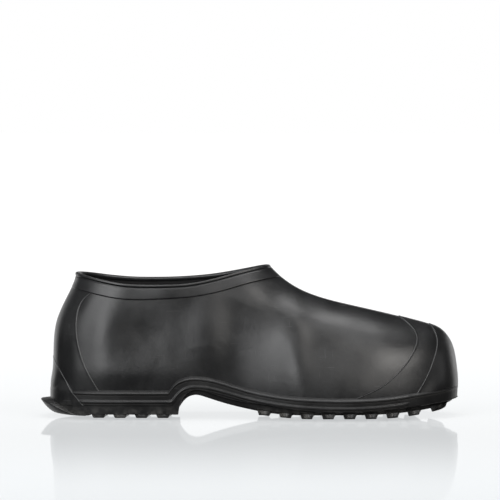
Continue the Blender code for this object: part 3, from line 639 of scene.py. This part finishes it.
# Collar band: a closed profile carried round the mouth. Outside it is a flat band with a rounded lower edge,
# a groove and a rolled bead; over the top it turns in and ends inside the wall
def makeCollar():
    angle = roundAngles(collar["columns"])
    full = 1 - collar["fade"] * (1 - ease(np.pi - np.abs(angle), 0, collar["fadeAngle"]))
    full = full * (1 - collar["heelFade"] * (1 - ease(np.abs(angle), 0, collar["heelFadeAngle"])))
    embed, edgeRound, liningOut = collar["embed"], collar["edgeRound"], collar["liningOut"]
    beadHeight, grooveWidth = collar["beadHeight"], collar["grooveWidth"]
    depths = np.concatenate([
        collar["width"] - edgeRound * np.array([0.0, 0.02, 0.1, 0.25, 0.45, 0.7, 1.0]),
        np.linspace(collar["width"] - 0.0015, beadHeight + 3.0 * grooveWidth, 10),
        beadHeight + grooveWidth * np.array([2.0, 1.4, 0.9, 0.5, 0.0, -0.5, -0.9, -1.4, -2.0]),
        np.linspace(beadHeight * 0.55, edgeRound, 4),
    ])
    fromEdge = np.clip((collar["width"] - depths) / edgeRound, 0, 1)
    sheet = shoe["seatGap"] * 0.6 + shoe["overlay"]
    flat = embed + (sheet - embed) * np.sqrt(1 - (1 - fromEdge) ** 2)
    dip = collar["groove"] * np.exp(-((depths - beadHeight) / grooveWidth) ** 2)
    bead = collar["beadProud"] * (1 - ease(depths, beadHeight * 0.5, beadHeight))
    out = embed + (flat - embed)[:, None] * full + ((bead - dip)[:, None]) * full
    heights = belowCollar(angle, depths)
    rows = [skin(angle, heights[k], out[k]) for k in range(len(depths))]
    turn = np.linspace(0, np.pi, 15)[1:-1]
    outTop, inTop = out[-1], np.full(angle.shape, -shoe["upperWall"] - liningOut)
    middle, half = (outTop + inTop) / 2, (outTop - inTop) / 2
    for t in turn:
        depth = edgeRound * (1 - np.sin(t))
        rows.append(skin(angle, belowCollar(angle, (depth,))[0], middle + half * np.cos(t)))
    turnedIn = ((edgeRound, -liningOut), (0.0018, -liningOut), (0.0026, -0.0011), (0.0029, -0.0008),
                (collar["turnIn"], -0.0003), (collar["turnIn"], 0.0006))
    for depth, inside in turnedIn:
        place = belowCollar(angle, (depth,))[0]
        rows.append(skin(angle, place, np.full(angle.shape, -shoe["upperWall"] + inside)))
    rows.append(skin(angle, belowCollar(angle, (collar["turnIn"],))[0], np.full(angle.shape, embed * 3)))
    points = np.stack(rows)
    quads = outward(points, gridQuads(len(points), len(angle), True, True))
    edge = np.zeros(points.shape[:2])
    edge[:6] = (0.10 * full)[None, :]
    edge[len(depths):len(depths) + len(turn)] = 0.12
    corner = np.zeros(points.shape[:2])
    corner[:len(depths)] = 0.15 * (dip / collar["groove"])[:, None]
    marks = {"edge": edge.ravel(), "corner": corner.ravel()}
    return addPiece("collar_band_rolled", points, quads, (bandRubber,), marks)


# Place along the shoe of a sheet's edge at a height
def edgePlace(rows, z):
    curve = smoothRows(rows)
    return shoe["length"] * (np.interp(z / shoe["throatHeight"], curve[:, 0], curve[:, 1]) - 0.5)


# Height of a rib: level round the heel, then up over the arch from its corner
def ribAt(x, column, corner, heelHeight):
    place = x / shoe["length"] + 0.5
    front = shoe["sideHeight"] * np.interp(place, ribsCurve[:, 0], ribsCurve[:, column])
    return np.where(place < corner, heelHeight, np.maximum(front, heelHeight * (place < 0.4)))


side = {
    "ribHigh": 0.0203, "ribLow": 0.0137, "ribWidth": 0.0024, "ribSlope": 0.0010, "ribStep": 0.00035,
    "ribProud": 0.0010, "underRib": 0.0006, "lowRibOver": 0.0005, "highWidth": 0.0036,
    "highCorner": 0.3053, "lowCorner": 0.3151, "highStart": 0.080, "lowStart": 0.095,
    "guardRibEnd": 0.8714, "guardCut": 0.75, "ribFade": 0.009,
    "topRound": 0.0024, "topOver": 0.0016, "sheetTuck": 0.0018, "shelf": 0.28, "shelfDrop": 0.0036,
    "edgeTuck": 0.0032, "tabRim": 0.0010, "tabSpan": 0.086, "rearCleat": 0.0010, "rearEdge": 0.0014,
    "heelEdge": 0.0027, "breast": 0.3317, "levels": 66, "places": 230,
}


# Height of the upper rib's top
def ribHighAt(x):
    return ribAt(x, 1, side["highCorner"], side["ribHigh"])


# Height of the lower rib's top
def ribLowAt(x):
    return ribAt(x, 2, side["lowCorner"], side["ribLow"])


# Height of the side's top: a little over the upper rib's
def sideTopAt(x):
    return ribHighAt(x) + side["topOver"]


# The edge share in this table sets the painted highlight laid along each sheet's edge
sheets = {
    "sink": -0.0005, "rise": 0.00042, "lip": 0.00016, "lipReach": 0.0011, "roundReach": 0.0006,
    "backSink": 0.0003, "edgeWearAndHighlight": 0.85, "flushRise": 0.024, "flushFrom": 0.003, "flushFull": 0.020,
    "overRise": 0.0075, "lowest": 0.0095, "cornerPower": 1.7,
}


# How far a sheet stands out at a distance from its edge: a quarter round up from inside the skin,
# then a fine raised lip that dies away into the sheet
def sheetOut(fromEdge, rise):
    up = np.sqrt(1 - (1 - np.clip(fromEdge / sheets["roundReach"], 0, 1)) ** 2)
    lip = sheets["lip"] * np.exp(-((fromEdge - 0.0005) / sheets["lipReach"]) ** 2)
    return sheets["sink"] + (rise + lip - sheets["sink"]) * up


# A sheet as a closed shell: its front stands out from the skin by the distance from its edge,
# its back lies inside the upper's wall
def addSheet(name, angles, z, fromEdge, rise, extra=0.0):
    front = skin(angles, z, sheetOut(fromEdge, rise) + extra)
    back = skin(angles, z, np.full(z.shape, sheets["sink"] - sheets["backSink"]))
    rows, columns = z.shape
    points = np.stack([back, front])
    count = rows * columns
    lastRow = rows * columns - 1 - np.arange(columns)
    rim = np.concatenate([np.arange(columns), np.arange(2, rows) * columns - 1, lastRow,
                          np.arange(rows - 2, 0, -1) * columns])
    after = np.roll(rim, -1)
    quads = np.concatenate([gridQuads(rows, columns)[:, ::-1], gridQuads(rows, columns, first=count),
                            np.stack([rim, after, after + count, rim + count], axis=1)])
    quads = outward(points, quads)
    # Painted highlight: the sheet's front is lightened in a thin line along its edge, standing in for light
    # on the edge's round
    lip = np.exp(-((fromEdge - 0.0004) / 0.0006) ** 2)
    edge = np.concatenate([np.zeros(count), sheets["edgeWearAndHighlight"] * lip.ravel()])
    return addPiece(name, points, quads, (sheetRubber,), {"edge": edge, "corner": 0.0})


fineRows = np.array([0, 0.00005, 0.00015, 0.0003, 0.00045, 0.0006, 0.0008, 0.0011, 0.0015, 0.0020, 0.0028])


counter = {"rows": 70, "evenRows": 90, "underCollar": 0.002, "nearMiddle": 0.0001}


# Heel counter: rows from the sole's side up to the collar band, columns from one front edge round to
# the other
def makeCounter():
    rows = counter["rows"]
    share = np.linspace(0, 1, rows)[:, None]
    depths = (collar["width"] - counter["underCollar"],)
    low, edgeZ = sideTopAt(heelX) - side["sheetTuck"], topline[4][1] * shoe["throatHeight"] - collar["width"]
    z = low + (edgeZ - low) * share
    for _ in range(20):
        angle = angleAt(edgePlace(counterEdge, z), z)
        z = low + (belowCollar(angle[-1], depths)[0] - low) * share
    halfAngle = angleAt(edgePlace(counterEdge, z), z)[:, 0]
    nearMiddle = np.array([0, counter["nearMiddle"]])
    halves = [rowsBetween(turn * halfAngle, z[:, 0], np.zeros(rows), z[:, 0], fineRows, counter["evenRows"],
                          nearMiddle)[:3] for turn in (-1, 1)]
    angles, heights, fromEdge = (np.concatenate([outer, inner[::-1][1:]]).T for outer, inner in zip(*halves))
    # The collar's lower edge isn't level, so each column is stretched to end just under it
    topOfColumn = belowCollar(angles[-1], depths)[0]
    heights = low + (heights - low) * (topOfColumn - low) / (heights[-1] - low)
    return addSheet("heel_counter_sheet", angles, heights, fromEdge, sheets["rise"])


# 1 at the very back of the heel, easing to 0 where the kick-off tab ends
def rearShare(place):
    share = 1 - np.clip((place - heelX - shoe["length"] / 2) / (side["tabSpan"] * shoe["length"]), 0, 1)
    return ease(share, 0.30, 0.98)


# Lower edge of the sole's side and the underside's middle
def soleHeights(place):
    share = place / shoe["length"]
    edge = shoe["sideHeight"] * np.interp(share, soleCurve[:, 0], soleCurve[:, 1])
    keel = shoe["sideHeight"] * np.interp(share, soleCurve[:, 0], soleCurve[:, 2])
    front = ease(place, side["breast"] * shoe["length"] - 0.0005, side["breast"] * shoe["length"] + 0.0005)
    heelKeel = side["heelEdge"] + (side["rearCleat"] - side["heelEdge"]) * (1 - ease(share, 0.115, 0.128))
    heelEdge = side["heelEdge"] + (side["rearEdge"] - side["heelEdge"]) * (1 - ease(share, 0.109, 0.118))
    return heelEdge + (edge - heelEdge) * front, heelKeel + (keel - heelKeel) * front


# Lower end of a sheet: just under the top of the sole's side, or over the side down to the kick-off tab
def lowestAt(x, overSide):
    if not overSide:
        return sideTopAt(x) - side["sheetTuck"]
    place = x + shoe["length"] / 2
    edge = soleHeights(place)[0]
    overTab = edge + (shoe["tabTipHeight"] - edge) * rearShare(place) + side["tabRim"] - 0.0002
    return np.maximum(overTab, sheets["lowest"])


# A sheet round the heel's or the toe's end: columns run from its lower end up to its edge, and it thickens
# downwards until it lies flush with the sole's side
def makeEndSheet(name, edge, middle, crossing, columns, evenRows, rise, overSide):
    across = np.linspace(-1, 1, columns)
    cornerZ = 0.15 * shoe["throatHeight"]
    for _ in range(60):
        cornerZ = 0.5 * cornerZ + 0.5 * float(lowestAt(edgePlace(edge, cornerZ), overSide))
    edgeZ = crossing - (crossing - cornerZ) * np.abs(across) ** sheets["cornerPower"]
    edgeAngle = middle + np.sign(across) * np.abs(middle - angleAt(edgePlace(edge, edgeZ), edgeZ))
    lowAngle = middle + across * (edgeAngle[-1] - middle)
    lowZ = np.full(columns, cornerZ)
    for _ in range(30):
        lowZ = lowestAt(rawSkin(lowAngle, lowZ)[:, 0], overSide)
    nearLow = np.array([0, 0.0002])
    angles, z, place, total = rowsBetween(lowAngle, lowZ, edgeAngle, edgeZ, nearLow, evenRows, fineRows)
    sideTop = sideTopAt(rawSkin(angles, z)[..., 0])
    wall = shoe["seatGap"] + shoe["soleWall"]
    fromEdge = total - place
    flush = 1 - ease(z, sideTop, sideTop + sheets["flushRise"])
    flush = flush * ease(fromEdge, sheets["flushFrom"], sheets["flushFull"])
    flush = flush * (rise > sheets["rise"])
    over = (1 - ease(z, sideTop - side["topRound"], sideTop + sheets["overRise"])) * overSide
    extra = np.maximum(wall * over, (wall - rise + sheets["backSink"]) * flush)
    return addSheet(name, angles, z, fromEdge, rise, extra)


# Height at which a sheet's edge meets the shoe's profile
def crossingHeight(edge, profile, low, high):
    heights = np.linspace(low, high, 1200) * shoe["throatHeight"]
    return heights[np.argmin(np.abs(edgePlace(edge, heights) - profile(heights)))]


upperPiece = makeUpper()
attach(upperPiece, "root")
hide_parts("upper")
print("upper:", len(upperPiece.data.polygons), "quads")

collarPiece = makeCollar()
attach(collarPiece, "root")
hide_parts("collar_band")
print("collar band:", len(collarPiece.data.polygons), "quads")

counterPiece = makeCounter()
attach(counterPiece, "root")
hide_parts("heel_counter")
print("heel counter:", len(counterPiece.data.polygons), "quads")

endSheets = (
    ("toe_cap_sheet", "toe_cap", capEdge, np.pi, crossingHeight(capEdge, frontAt, 0.6, 0.7), 181, 60,
     sheets["rise"], False),
    ("toe_guard_sheet", "toe_guard", toeGuardEdge, np.pi, crossingHeight(toeGuardEdge, frontAt, 0.56, 0.65),
     161, 60, sheets["rise"] * 2, False),
    ("heel_guard_sheet", "heel_guard", heelGuardEdge, 0.0, crossingHeight(heelGuardEdge, heelAt, 0.3, 0.55),
     141, 70, sheets["rise"] * 1.2, True),
)
for name, node, edge, middle, crossing, columns, rows, rise, overSide in endSheets:
    piece = makeEndSheet(name, edge, middle, crossing, columns, rows, rise, overSide)
    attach(piece, "root")
    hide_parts(node)
    print(name + ":", len(piece.data.polygons), "quads")


# Places along the sole, fine over the heel breast and arch and at both ends
def solePlaces(steps):
    low, high = heelX + shoe["length"] / 2, frontAt(side["ribLow"]) + shoe["length"] / 2
    even = low + (high - low) * (1 - np.cos(crowdedAngles(steps))) / 2
    breast = side["breast"] * shoe["length"]
    arch = np.concatenate([np.arange(breast - 0.012, breast - 0.0015, 0.0008),
                           breast + np.linspace(-0.0009, 0.0009, 9),
                           np.arange(breast + 0.0014, breast + 0.022, 0.0008)])
    clear = (even < arch[0] - 0.0004) | (even > arch[-1] + 0.0004)
    return np.sort(np.concatenate([even[clear], arch]))


# A rib across its height, 0 to 1 to 0: a soft slope above and a sharp step below
def ribBump(z, top, width):
    depth = top - z
    step = ease(depth, width - side["ribStep"], width + side["ribStep"])
    return ease(depth, 0, side["ribSlope"]) * (1 - step)


# Outsole: loops from the floor's middle out to the side's top, down the ribbed side, over the kick-off tab
# and back under to the middle of the underside
def makeOutsole():
    place = solePlaces(side["places"])
    x = place - shoe["length"] / 2
    halfAngle = angleAt(x, np.full(x.shape, side["ribLow"]))
    angle = np.concatenate([halfAngle, -halfAngle[-2:0:-1]])
    order = np.concatenate([np.arange(len(x)), np.arange(len(x) - 2, 0, -1)])
    x, place = x[order], place[order]
    share = place / shoe["length"]
    floor, high, low = floorAt(x), ribHighAt(x), ribLowAt(x)
    edge, keel = soleHeights(place)
    rear = rearShare(place)
    front = np.clip((share - 0.9) / 0.1, 0, 1)
    wall = shoe["seatGap"] + shoe["soleWall"]
    fade = side["ribFade"]
    highProud = np.clip((share - side["highStart"]) / fade, 0, 1)
    lowProud = np.clip(np.minimum(share - side["lowStart"], side["guardRibEnd"] - share) / fade, 0, 1)
    guard = ease(share, side["guardRibEnd"], side["guardRibEnd"] + fade)
    tab = edge + (shoe["tabTipHeight"] - edge) * rear

    # The skin's loop at a height and a distance out of it
    def loop(z, out):
        return skin(angle, z, np.broadcast_to(out, angle.shape))

    # Such a loop as the next row, with its marks of wear and dust
    def addRow(z, out, edgeShare=0, cornerShare=0):
        rows.append(loop(z, out))
        edgeMark.append(edgeShare)
        cornerMark.append(cornerShare)

    foot = loop(floor, shoe["seatGap"] - 0.0002)
    mirror = np.concatenate([[0], np.arange(len(angle) - 1, 0, -1)])
    footMiddle = (foot + foot[mirror]) / 2
    rows, edgeMark, cornerMark = [footMiddle, (foot + footMiddle) / 2, foot], [0, 0, 0], [0, 0, 0]
    # The side's top and its rounded corner
    topZ = high + side["topOver"]
    addRow(topZ, shoe["seatGap"] - 0.0010)
    proudTop = wall + side["ribProud"] * highProud * (1 - side["guardCut"] * guard)
    for t in np.linspace(0.06, 1, 16):
        out = -0.0005 + (proudTop + 0.0005) * (0.35 * t + 0.65 * ease(t, 0, 1))
        addRow(topZ - side["topRound"] * t, out, 0.12 * ease(t, 0.3, 0.9), 0.3 * (1 - ease(t, 0, 0.3)))
    # The side with its two ribs, down to the tab
    startZ = topZ - side["topRound"]
    for k in range(1, side["levels"] + 1):
        z = startZ + (tab + side["tabRim"] - startZ) * k / side["levels"]
        highEnd = side["highWidth"]
        highBump = 1 - ease(topZ - z, highEnd - side["ribStep"], highEnd + side["ribStep"])
        lowBump = ribBump(z, low + side["lowRibOver"], side["ribWidth"])
        shelf = side["shelf"] * ease(low - side["shelfDrop"] - z, 0, 0.0006) * (1 - rear)
        ribs = highBump * highProud * (1 - side["guardCut"] * guard) + lowBump * lowProud
        out = wall + side["ribProud"] * (ribs - shelf)
        highUnder = topZ - highEnd - side["underRib"] - z
        lowUnder = low + side["lowRibOver"] - side["ribWidth"] - side["underRib"] - z
        under = np.exp(-(highUnder / side["underRib"]) ** 2) * highProud
        under = under + np.exp(-(lowUnder / side["underRib"]) ** 2) * lowProud
        proud = np.clip(highBump * highProud + lowBump * lowProud, 0, 1)
        addRow(z, out, 0.18 * proud, 0.5 * np.clip(under, 0, 1))
    # The tab's rim, then its belly
    reach = shoe["tabReach"] * rear + shoe["toeLip"] * front
    edgeOut = wall - side["shelf"] * side["ribProud"] * (1 - rear)
    for t in np.linspace(0.15, 1, 7):
        addRow(tab + side["tabRim"] * (1 - 0.5 * t**2), edgeOut + reach * t, 0.2 * t, 0.3 * (1 - t))
    for t in np.linspace(0.08, 1, 14):
        bellyOut = edgeOut + reach * (1 - 1.45 * t) - side["edgeTuck"] * 0.3 * t * (1 - rear)
        bellyZ = edge + (tab + side["tabRim"] * 0.5 - edge) * (1 - t) ** 1.6
        addRow(bellyZ, bellyOut, 0.2 * (1 - t), 0.2 * t)
    # The recess over the lugs, then the underside closed to its middle
    for t in np.concatenate([np.linspace(0, 0.85, 6), [0.93, 0.98, 1]]):
        tuckIn = side["edgeTuck"] + 0.0004 * t + 0.0006 * ease(t, 0.85, 1) + 0.0006 * rear
        addRow(edge + (keel - edge) * t, wall - tuckIn, 0, 0.08)
    brim = rows[-1]
    middle = (brim + brim[mirror]) / 2
    for t in np.linspace(0, 1, 12)[1:]:
        rows.append(brim + (middle - brim) * t)
        edgeMark.append(0)
        cornerMark.append(0.1)
    points = np.stack(rows)
    quads = outward(points, gridQuads(len(points), len(angle), False, True))
    marks = {"edge": edgeMark, "corner": cornerMark}
    marks = {mark: np.concatenate([np.broadcast_to(value, angle.shape) for value in values])
             for mark, values in marks.items()}
    return addPiece("outsole_body", points, quads, (soleRubber,), marks)


solePiece = makeOutsole()
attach(solePiece, "root")
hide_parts("outsole")
print("outsole:", len(solePiece.data.polygons), "quads")

lugs = {
    "length": 0.0252, "pitch": 0.0509, "firstHeel": 0.1288, "heelCount": 4, "firstFore": 0.5205,
    "foreCount": 8, "toeLug": 0.9330, "toeLength": 0.0340, "chevron": 0.0030, "draft": 0.0014,
    "round": 0.00035, "heelInset": 0.0006, "foreInset": 0.0024, "rise": 0.0024,
    "toeSpring": 0.0085, "toeSpringFrom": 0.79, "toeSpringSpan": 0.21,
    "toeLift": 0.0030, "toeLiftFrom": 0.95, "toeLiftSpan": 0.03,
    "waistSpring": 0.0024, "waistSpringTo": 0.66, "waistSpringSpan": 0.13,
}


# Lugs: each a rounded bar across the sole. Its ends follow the sole's outline, its face lies on the ground
# or rises with the toe, and its top is sunk in the underside
def makeLugs():
    starts = [lugs["firstHeel"] + k * lugs["pitch"] for k in range(lugs["heelCount"])]
    starts += [lugs["firstFore"] + k * lugs["pitch"] for k in range(lugs["foreCount"])]
    lengths = [lugs["length"]] * len(starts) + [lugs["toeLength"]]
    starts = np.array(starts + [lugs["toeLug"]])
    lengths = np.array(lengths)
    nearEnd = np.array([-1, -0.995, -0.985, -0.97])
    across = np.concatenate([nearEnd, np.linspace(-0.93, 0.93, 35), -nearEnd[::-1]])
    corners = np.array([
        (-1, 1), (-1, 0.3), (-1, -0.6), (-0.985, -0.85), (-0.93, -0.97), (-0.85, -1), (-0.4, -1), (0, -1),
        (0.4, -1), (0.85, -1), (0.93, -0.97), (0.985, -0.85), (1, -0.6), (1, 0.3), (1, 1), (0, 1),
    ])
    share = (starts + lengths / 2)[:, None, None] + corners[:, 0] * (lengths / 2)[:, None, None]
    share = share + 0 * across[None, :, None]
    level = (corners[:, 1] + 1) / 2
    bar = shoe["length"] * share - shoe["length"] / 2 + np.sign(corners[:, 0]) * lugs["draft"] * level
    toe = np.clip((share - lugs["toeSpringFrom"]) / lugs["toeSpringSpan"], 0, 1)
    tip = np.clip((share - lugs["toeLiftFrom"]) / lugs["toeLiftSpan"], 0, 1)
    waist = np.clip((lugs["waistSpringTo"] - share) / lugs["waistSpringSpan"], 0, 1)
    spring = lugs["toeSpring"] * toe**2
    spring = spring + lugs["toeLift"] * tip**2
    spring = spring + lugs["waistSpring"] * np.where(share > 0.4, waist**2, 0)
    edge, keel = soleHeights(share * shoe["length"])
    inset = np.where(share < 0.4, lugs["heelInset"], lugs["foreInset"])
    wall = shoe["seatGap"] + shoe["soleWall"]
    halfAngle = angleAt(bar, np.full(bar.shape, side["ribLow"]))
    outerEdge = skin(-halfAngle, edge, wall - inset)
    innerEdge = skin(halfAngle, edge, wall - inset)
    t = (across[None, :, None] + 1) / 2
    points = outerEdge + (innerEdge - outerEdge) * t[..., None]
    away = 1 - np.abs(across)[None, :, None]
    points[..., 0] += lugs["chevron"] * ease(away, 0, 1) * (share < 0.93)
    ceiling = np.minimum(keel + lugs["rise"], edge + 0.0004)
    endRounding = lugs["round"] * (1 - np.sqrt(1 - (1 - np.clip(away / 0.03, 0, 1)) ** 2)) * 2
    points[..., 2] = spring + endRounding + (ceiling - spring - endRounding) * level
    count = len(across) * len(corners)
    quads = gridQuads(len(across), len(corners), False, True)
    k = np.arange(6)
    cap = np.stack([k, k + 1, 13 - k, 14 - k], axis=1)
    oneLug = np.concatenate([quads, cap, cap[:, ::-1] + count - len(corners)])
    allQuads = np.concatenate([oneLug + k * count for k in range(len(starts))])
    allQuads = outward(points, allQuads)
    worn = np.clip(1 - level * 4, 0, 1)
    edgeMark = np.broadcast_to(0.08 * worn, points.shape[:3])
    cornerMark = np.broadcast_to(0.04 * level, points.shape[:3])
    marks = {"edge": edgeMark.ravel(), "corner": cornerMark.ravel()}
    return addPiece("tread_lugs", points, allQuads, (soleRubber,), marks)


lugPiece = makeLugs()
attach(lugPiece, "root")
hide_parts("outsole")
print("lugs:", len(lugPiece.data.polygons), "quads")

studio = {"aim": (0.0, 0.0, 0.1273), "distance": 3.2, "tilt": 3.0, "frameWidth": 0.3875, "sensor": 36.0,
          "lightAim": (0, 0, 0.06)}


# Camera: square on the shoe's outer side and a little above, with a long lens
def makeCamera():
    tilt = np.radians(studio["tilt"])
    aim = np.array(studio["aim"])
    data = bpy.data.cameras.new("camera")
    data.sensor_width = studio["sensor"]
    data.lens = studio["sensor"] * studio["distance"] / studio["frameWidth"]
    data.clip_start, data.clip_end = 0.05, 60
    camera = bpy.data.objects.new("camera", data)
    back = np.array([0, -np.cos(tilt), np.sin(tilt)])
    camera.location = aim + studio["distance"] * back
    camera.rotation_euler = (Vector(-back)).to_track_quat("-Z", "Y").to_euler()
    bpy.context.scene.collection.objects.link(camera)
    bpy.context.scene.camera = camera


coolWhite, warmWhite, plainWhite = (0.985, 0.993, 1.0), (1.0, 0.975, 0.94), (1.0, 1.0, 1.0)

# Lights: name, place, width and height, power, colour
lights = (
    ("leftNear", (-0.75, -1.70, 0.55), (0.6, 1.2), 11.5, coolWhite),
    ("leftFar", (-1.40, -1.20, 0.60), (0.8, 1.2), 8.2, coolWhite),
    ("leftHigh", (-0.90, -1.20, 1.35), (0.9, 0.7), 10.5, coolWhite),
    ("rightNear", (0.65, -1.75, 0.55), (0.5, 1.2), 4.8, warmWhite),
    ("rightFar", (1.25, -1.35, 0.60), (0.7, 1.2), 5.6, warmWhite),
    ("rightHigh", (1.10, -1.10, 1.30), (0.9, 0.7), 11.0, warmWhite),
    ("frontHigh", (0.0, -1.60, 1.25), (0.7, 0.6), 2.0, plainWhite),
    ("topFront", (0.1, -0.75, 1.65), (1.5, 0.4), 5.0, plainWhite),
    ("topMiddle", (0.1, -0.25, 1.75), (1.5, 0.4), 8.5, plainWhite),
    ("topBack", (0.0, 0.35, 1.75), (1.2, 0.5), 11.0, plainWhite),
    ("backLeft", (-1.7, 1.7, 0.45), (0.9, 0.8), 1.4, coolWhite),
    ("backRight", (1.7, 1.9, 0.45), (0.9, 0.8), 1.6, plainWhite),
    ("sideLeft", (-1.9, 0.0, 0.50), (0.8, 0.8), 0.7, coolWhite),
    ("sideRight", (1.9, -0.1, 0.50), (0.8, 0.8), 1.2, plainWhite),
)


# Soft light: an area lamp that looks at the middle of the shoe's side
def makeLight(name, place, size, power, colour):
    data = bpy.data.lights.new(name, "AREA")
    data.shape = "RECTANGLE"
    data.size, data.size_y = size
    data.energy = power
    data.color = colour
    lamp = bpy.data.objects.new(name, data)
    lamp.location = place
    lamp.rotation_euler = (Vector(studio["lightAim"]) - Vector(place)).to_track_quat("-Z", "Y").to_euler()
    bpy.context.scene.collection.objects.link(lamp)


floorLook = {"reach": 9.0, "lines": 40, "level": -0.0016, "ramp": (-0.6, 1.5), "strength": (0.86, 1.62),
             "near": (0.93, 0.965, 0.985), "far": (1.0, 1.0, 1.0), "matte": (0.80, 0.81, 0.82),
             "matteShare": 0.22, "glossRough": 0.035, "glossRamp": (-0.55, -0.12), "glossShare": (0.05, 0.37)}


# Floor: a wide pale plane just under the shoe, brighter further off; its gloss grows from the front to the
# shoe and shows the shoe upside down
def makeFloor():
    reach = np.linspace(-floorLook["reach"], floorLook["reach"], floorLook["lines"])
    level = np.full((1, 1), floorLook["level"])
    points = np.stack(np.broadcast_arrays(reach[None, :], reach[:, None], level), axis=-1)
    floor = addPiece("studio_floor", points, gridQuads(len(reach), len(reach)), (floorMaterial(),))
    floor.visible_glossy = False
    floor.visible_diffuse = False


# Two shaders mixed by a share of the second
def mixShader(tree, share, first, second):
    node = tree.nodes.new("ShaderNodeMixShader")
    feed(tree, share, node.inputs[0])
    tree.links.new(first, node.inputs[1])
    tree.links.new(second, node.inputs[2])
    return node.outputs[0]


# The floor's own glow, coloured and strengthened by how far back it is, then some matte, then some gloss
def floorMaterial():
    material = bpy.data.materials.new("studioFloor")
    material.use_nodes = True
    tree = material.node_tree
    tree.nodes.remove(tree.nodes["Principled BSDF"])
    place = tree.nodes.new("ShaderNodeTexCoord").outputs["Object"]
    split = tree.nodes.new("ShaderNodeSeparateXYZ")
    tree.links.new(place, split.inputs[0])
    far = rangeNode(tree, split.outputs["Y"], *floorLook["ramp"], smooth=False)
    pale = tree.nodes.new("ShaderNodeEmission")
    tree.links.new(mixColour(tree, far, floorLook["near"], floorLook["far"]), pale.inputs["Color"])
    tree.links.new(rangeNode(tree, far, 0, 1, *floorLook["strength"], smooth=False), pale.inputs["Strength"])
    matte = tree.nodes.new("ShaderNodeBsdfDiffuse")
    matte.inputs["Color"].default_value = (*floorLook["matte"], 1)
    gloss = tree.nodes.new("ShaderNodeBsdfGlossy")
    gloss.inputs["Roughness"].default_value = floorLook["glossRough"]
    shade = mixShader(tree, floorLook["matteShare"], pale.outputs[0], matte.outputs[0])
    glossShare = rangeNode(tree, split.outputs["Y"], *floorLook["glossRamp"], *floorLook["glossShare"])
    both = mixShader(tree, glossShare, shade, gloss.outputs[0])
    tree.links.new(both, tree.nodes["Material Output"].inputs["Surface"])
    return material


# World: white where the camera sees it, dim for light and reflections
def makeWorld():
    world = bpy.data.worlds.new("studio")
    bpy.context.scene.world = world
    world.use_nodes = True
    tree = world.node_tree
    sky = tree.nodes["Background"]
    sky.inputs["Color"].default_value = (1, 1, 1, 1)
    path = tree.nodes.new("ShaderNodeLightPath")
    split = tree.nodes.new("ShaderNodeSeparateXYZ")
    tree.links.new(tree.nodes.new("ShaderNodeTexCoord").outputs["Generated"], split.inputs[0])
    low = rangeNode(tree, split.outputs["Z"], 0.22, 0.12)
    behind = rangeNode(tree, split.outputs["Y"], 0.55, 0.8)
    seen = mathNode(tree, "MAXIMUM", path.outputs["Is Camera Ray"], mathNode(tree, "MULTIPLY", low, behind))
    level = rangeNode(tree, seen, 0, 1, 0.035, 1.0, smooth=False)
    tree.links.new(level, sky.inputs["Strength"])


makeCamera()
makeFloor()
makeWorld()
for light in lights:
    makeLight(*light)
bpy.context.scene.view_settings.view_transform = "Standard"
bpy.context.scene.view_settings.look = "None"
print("studio ready")
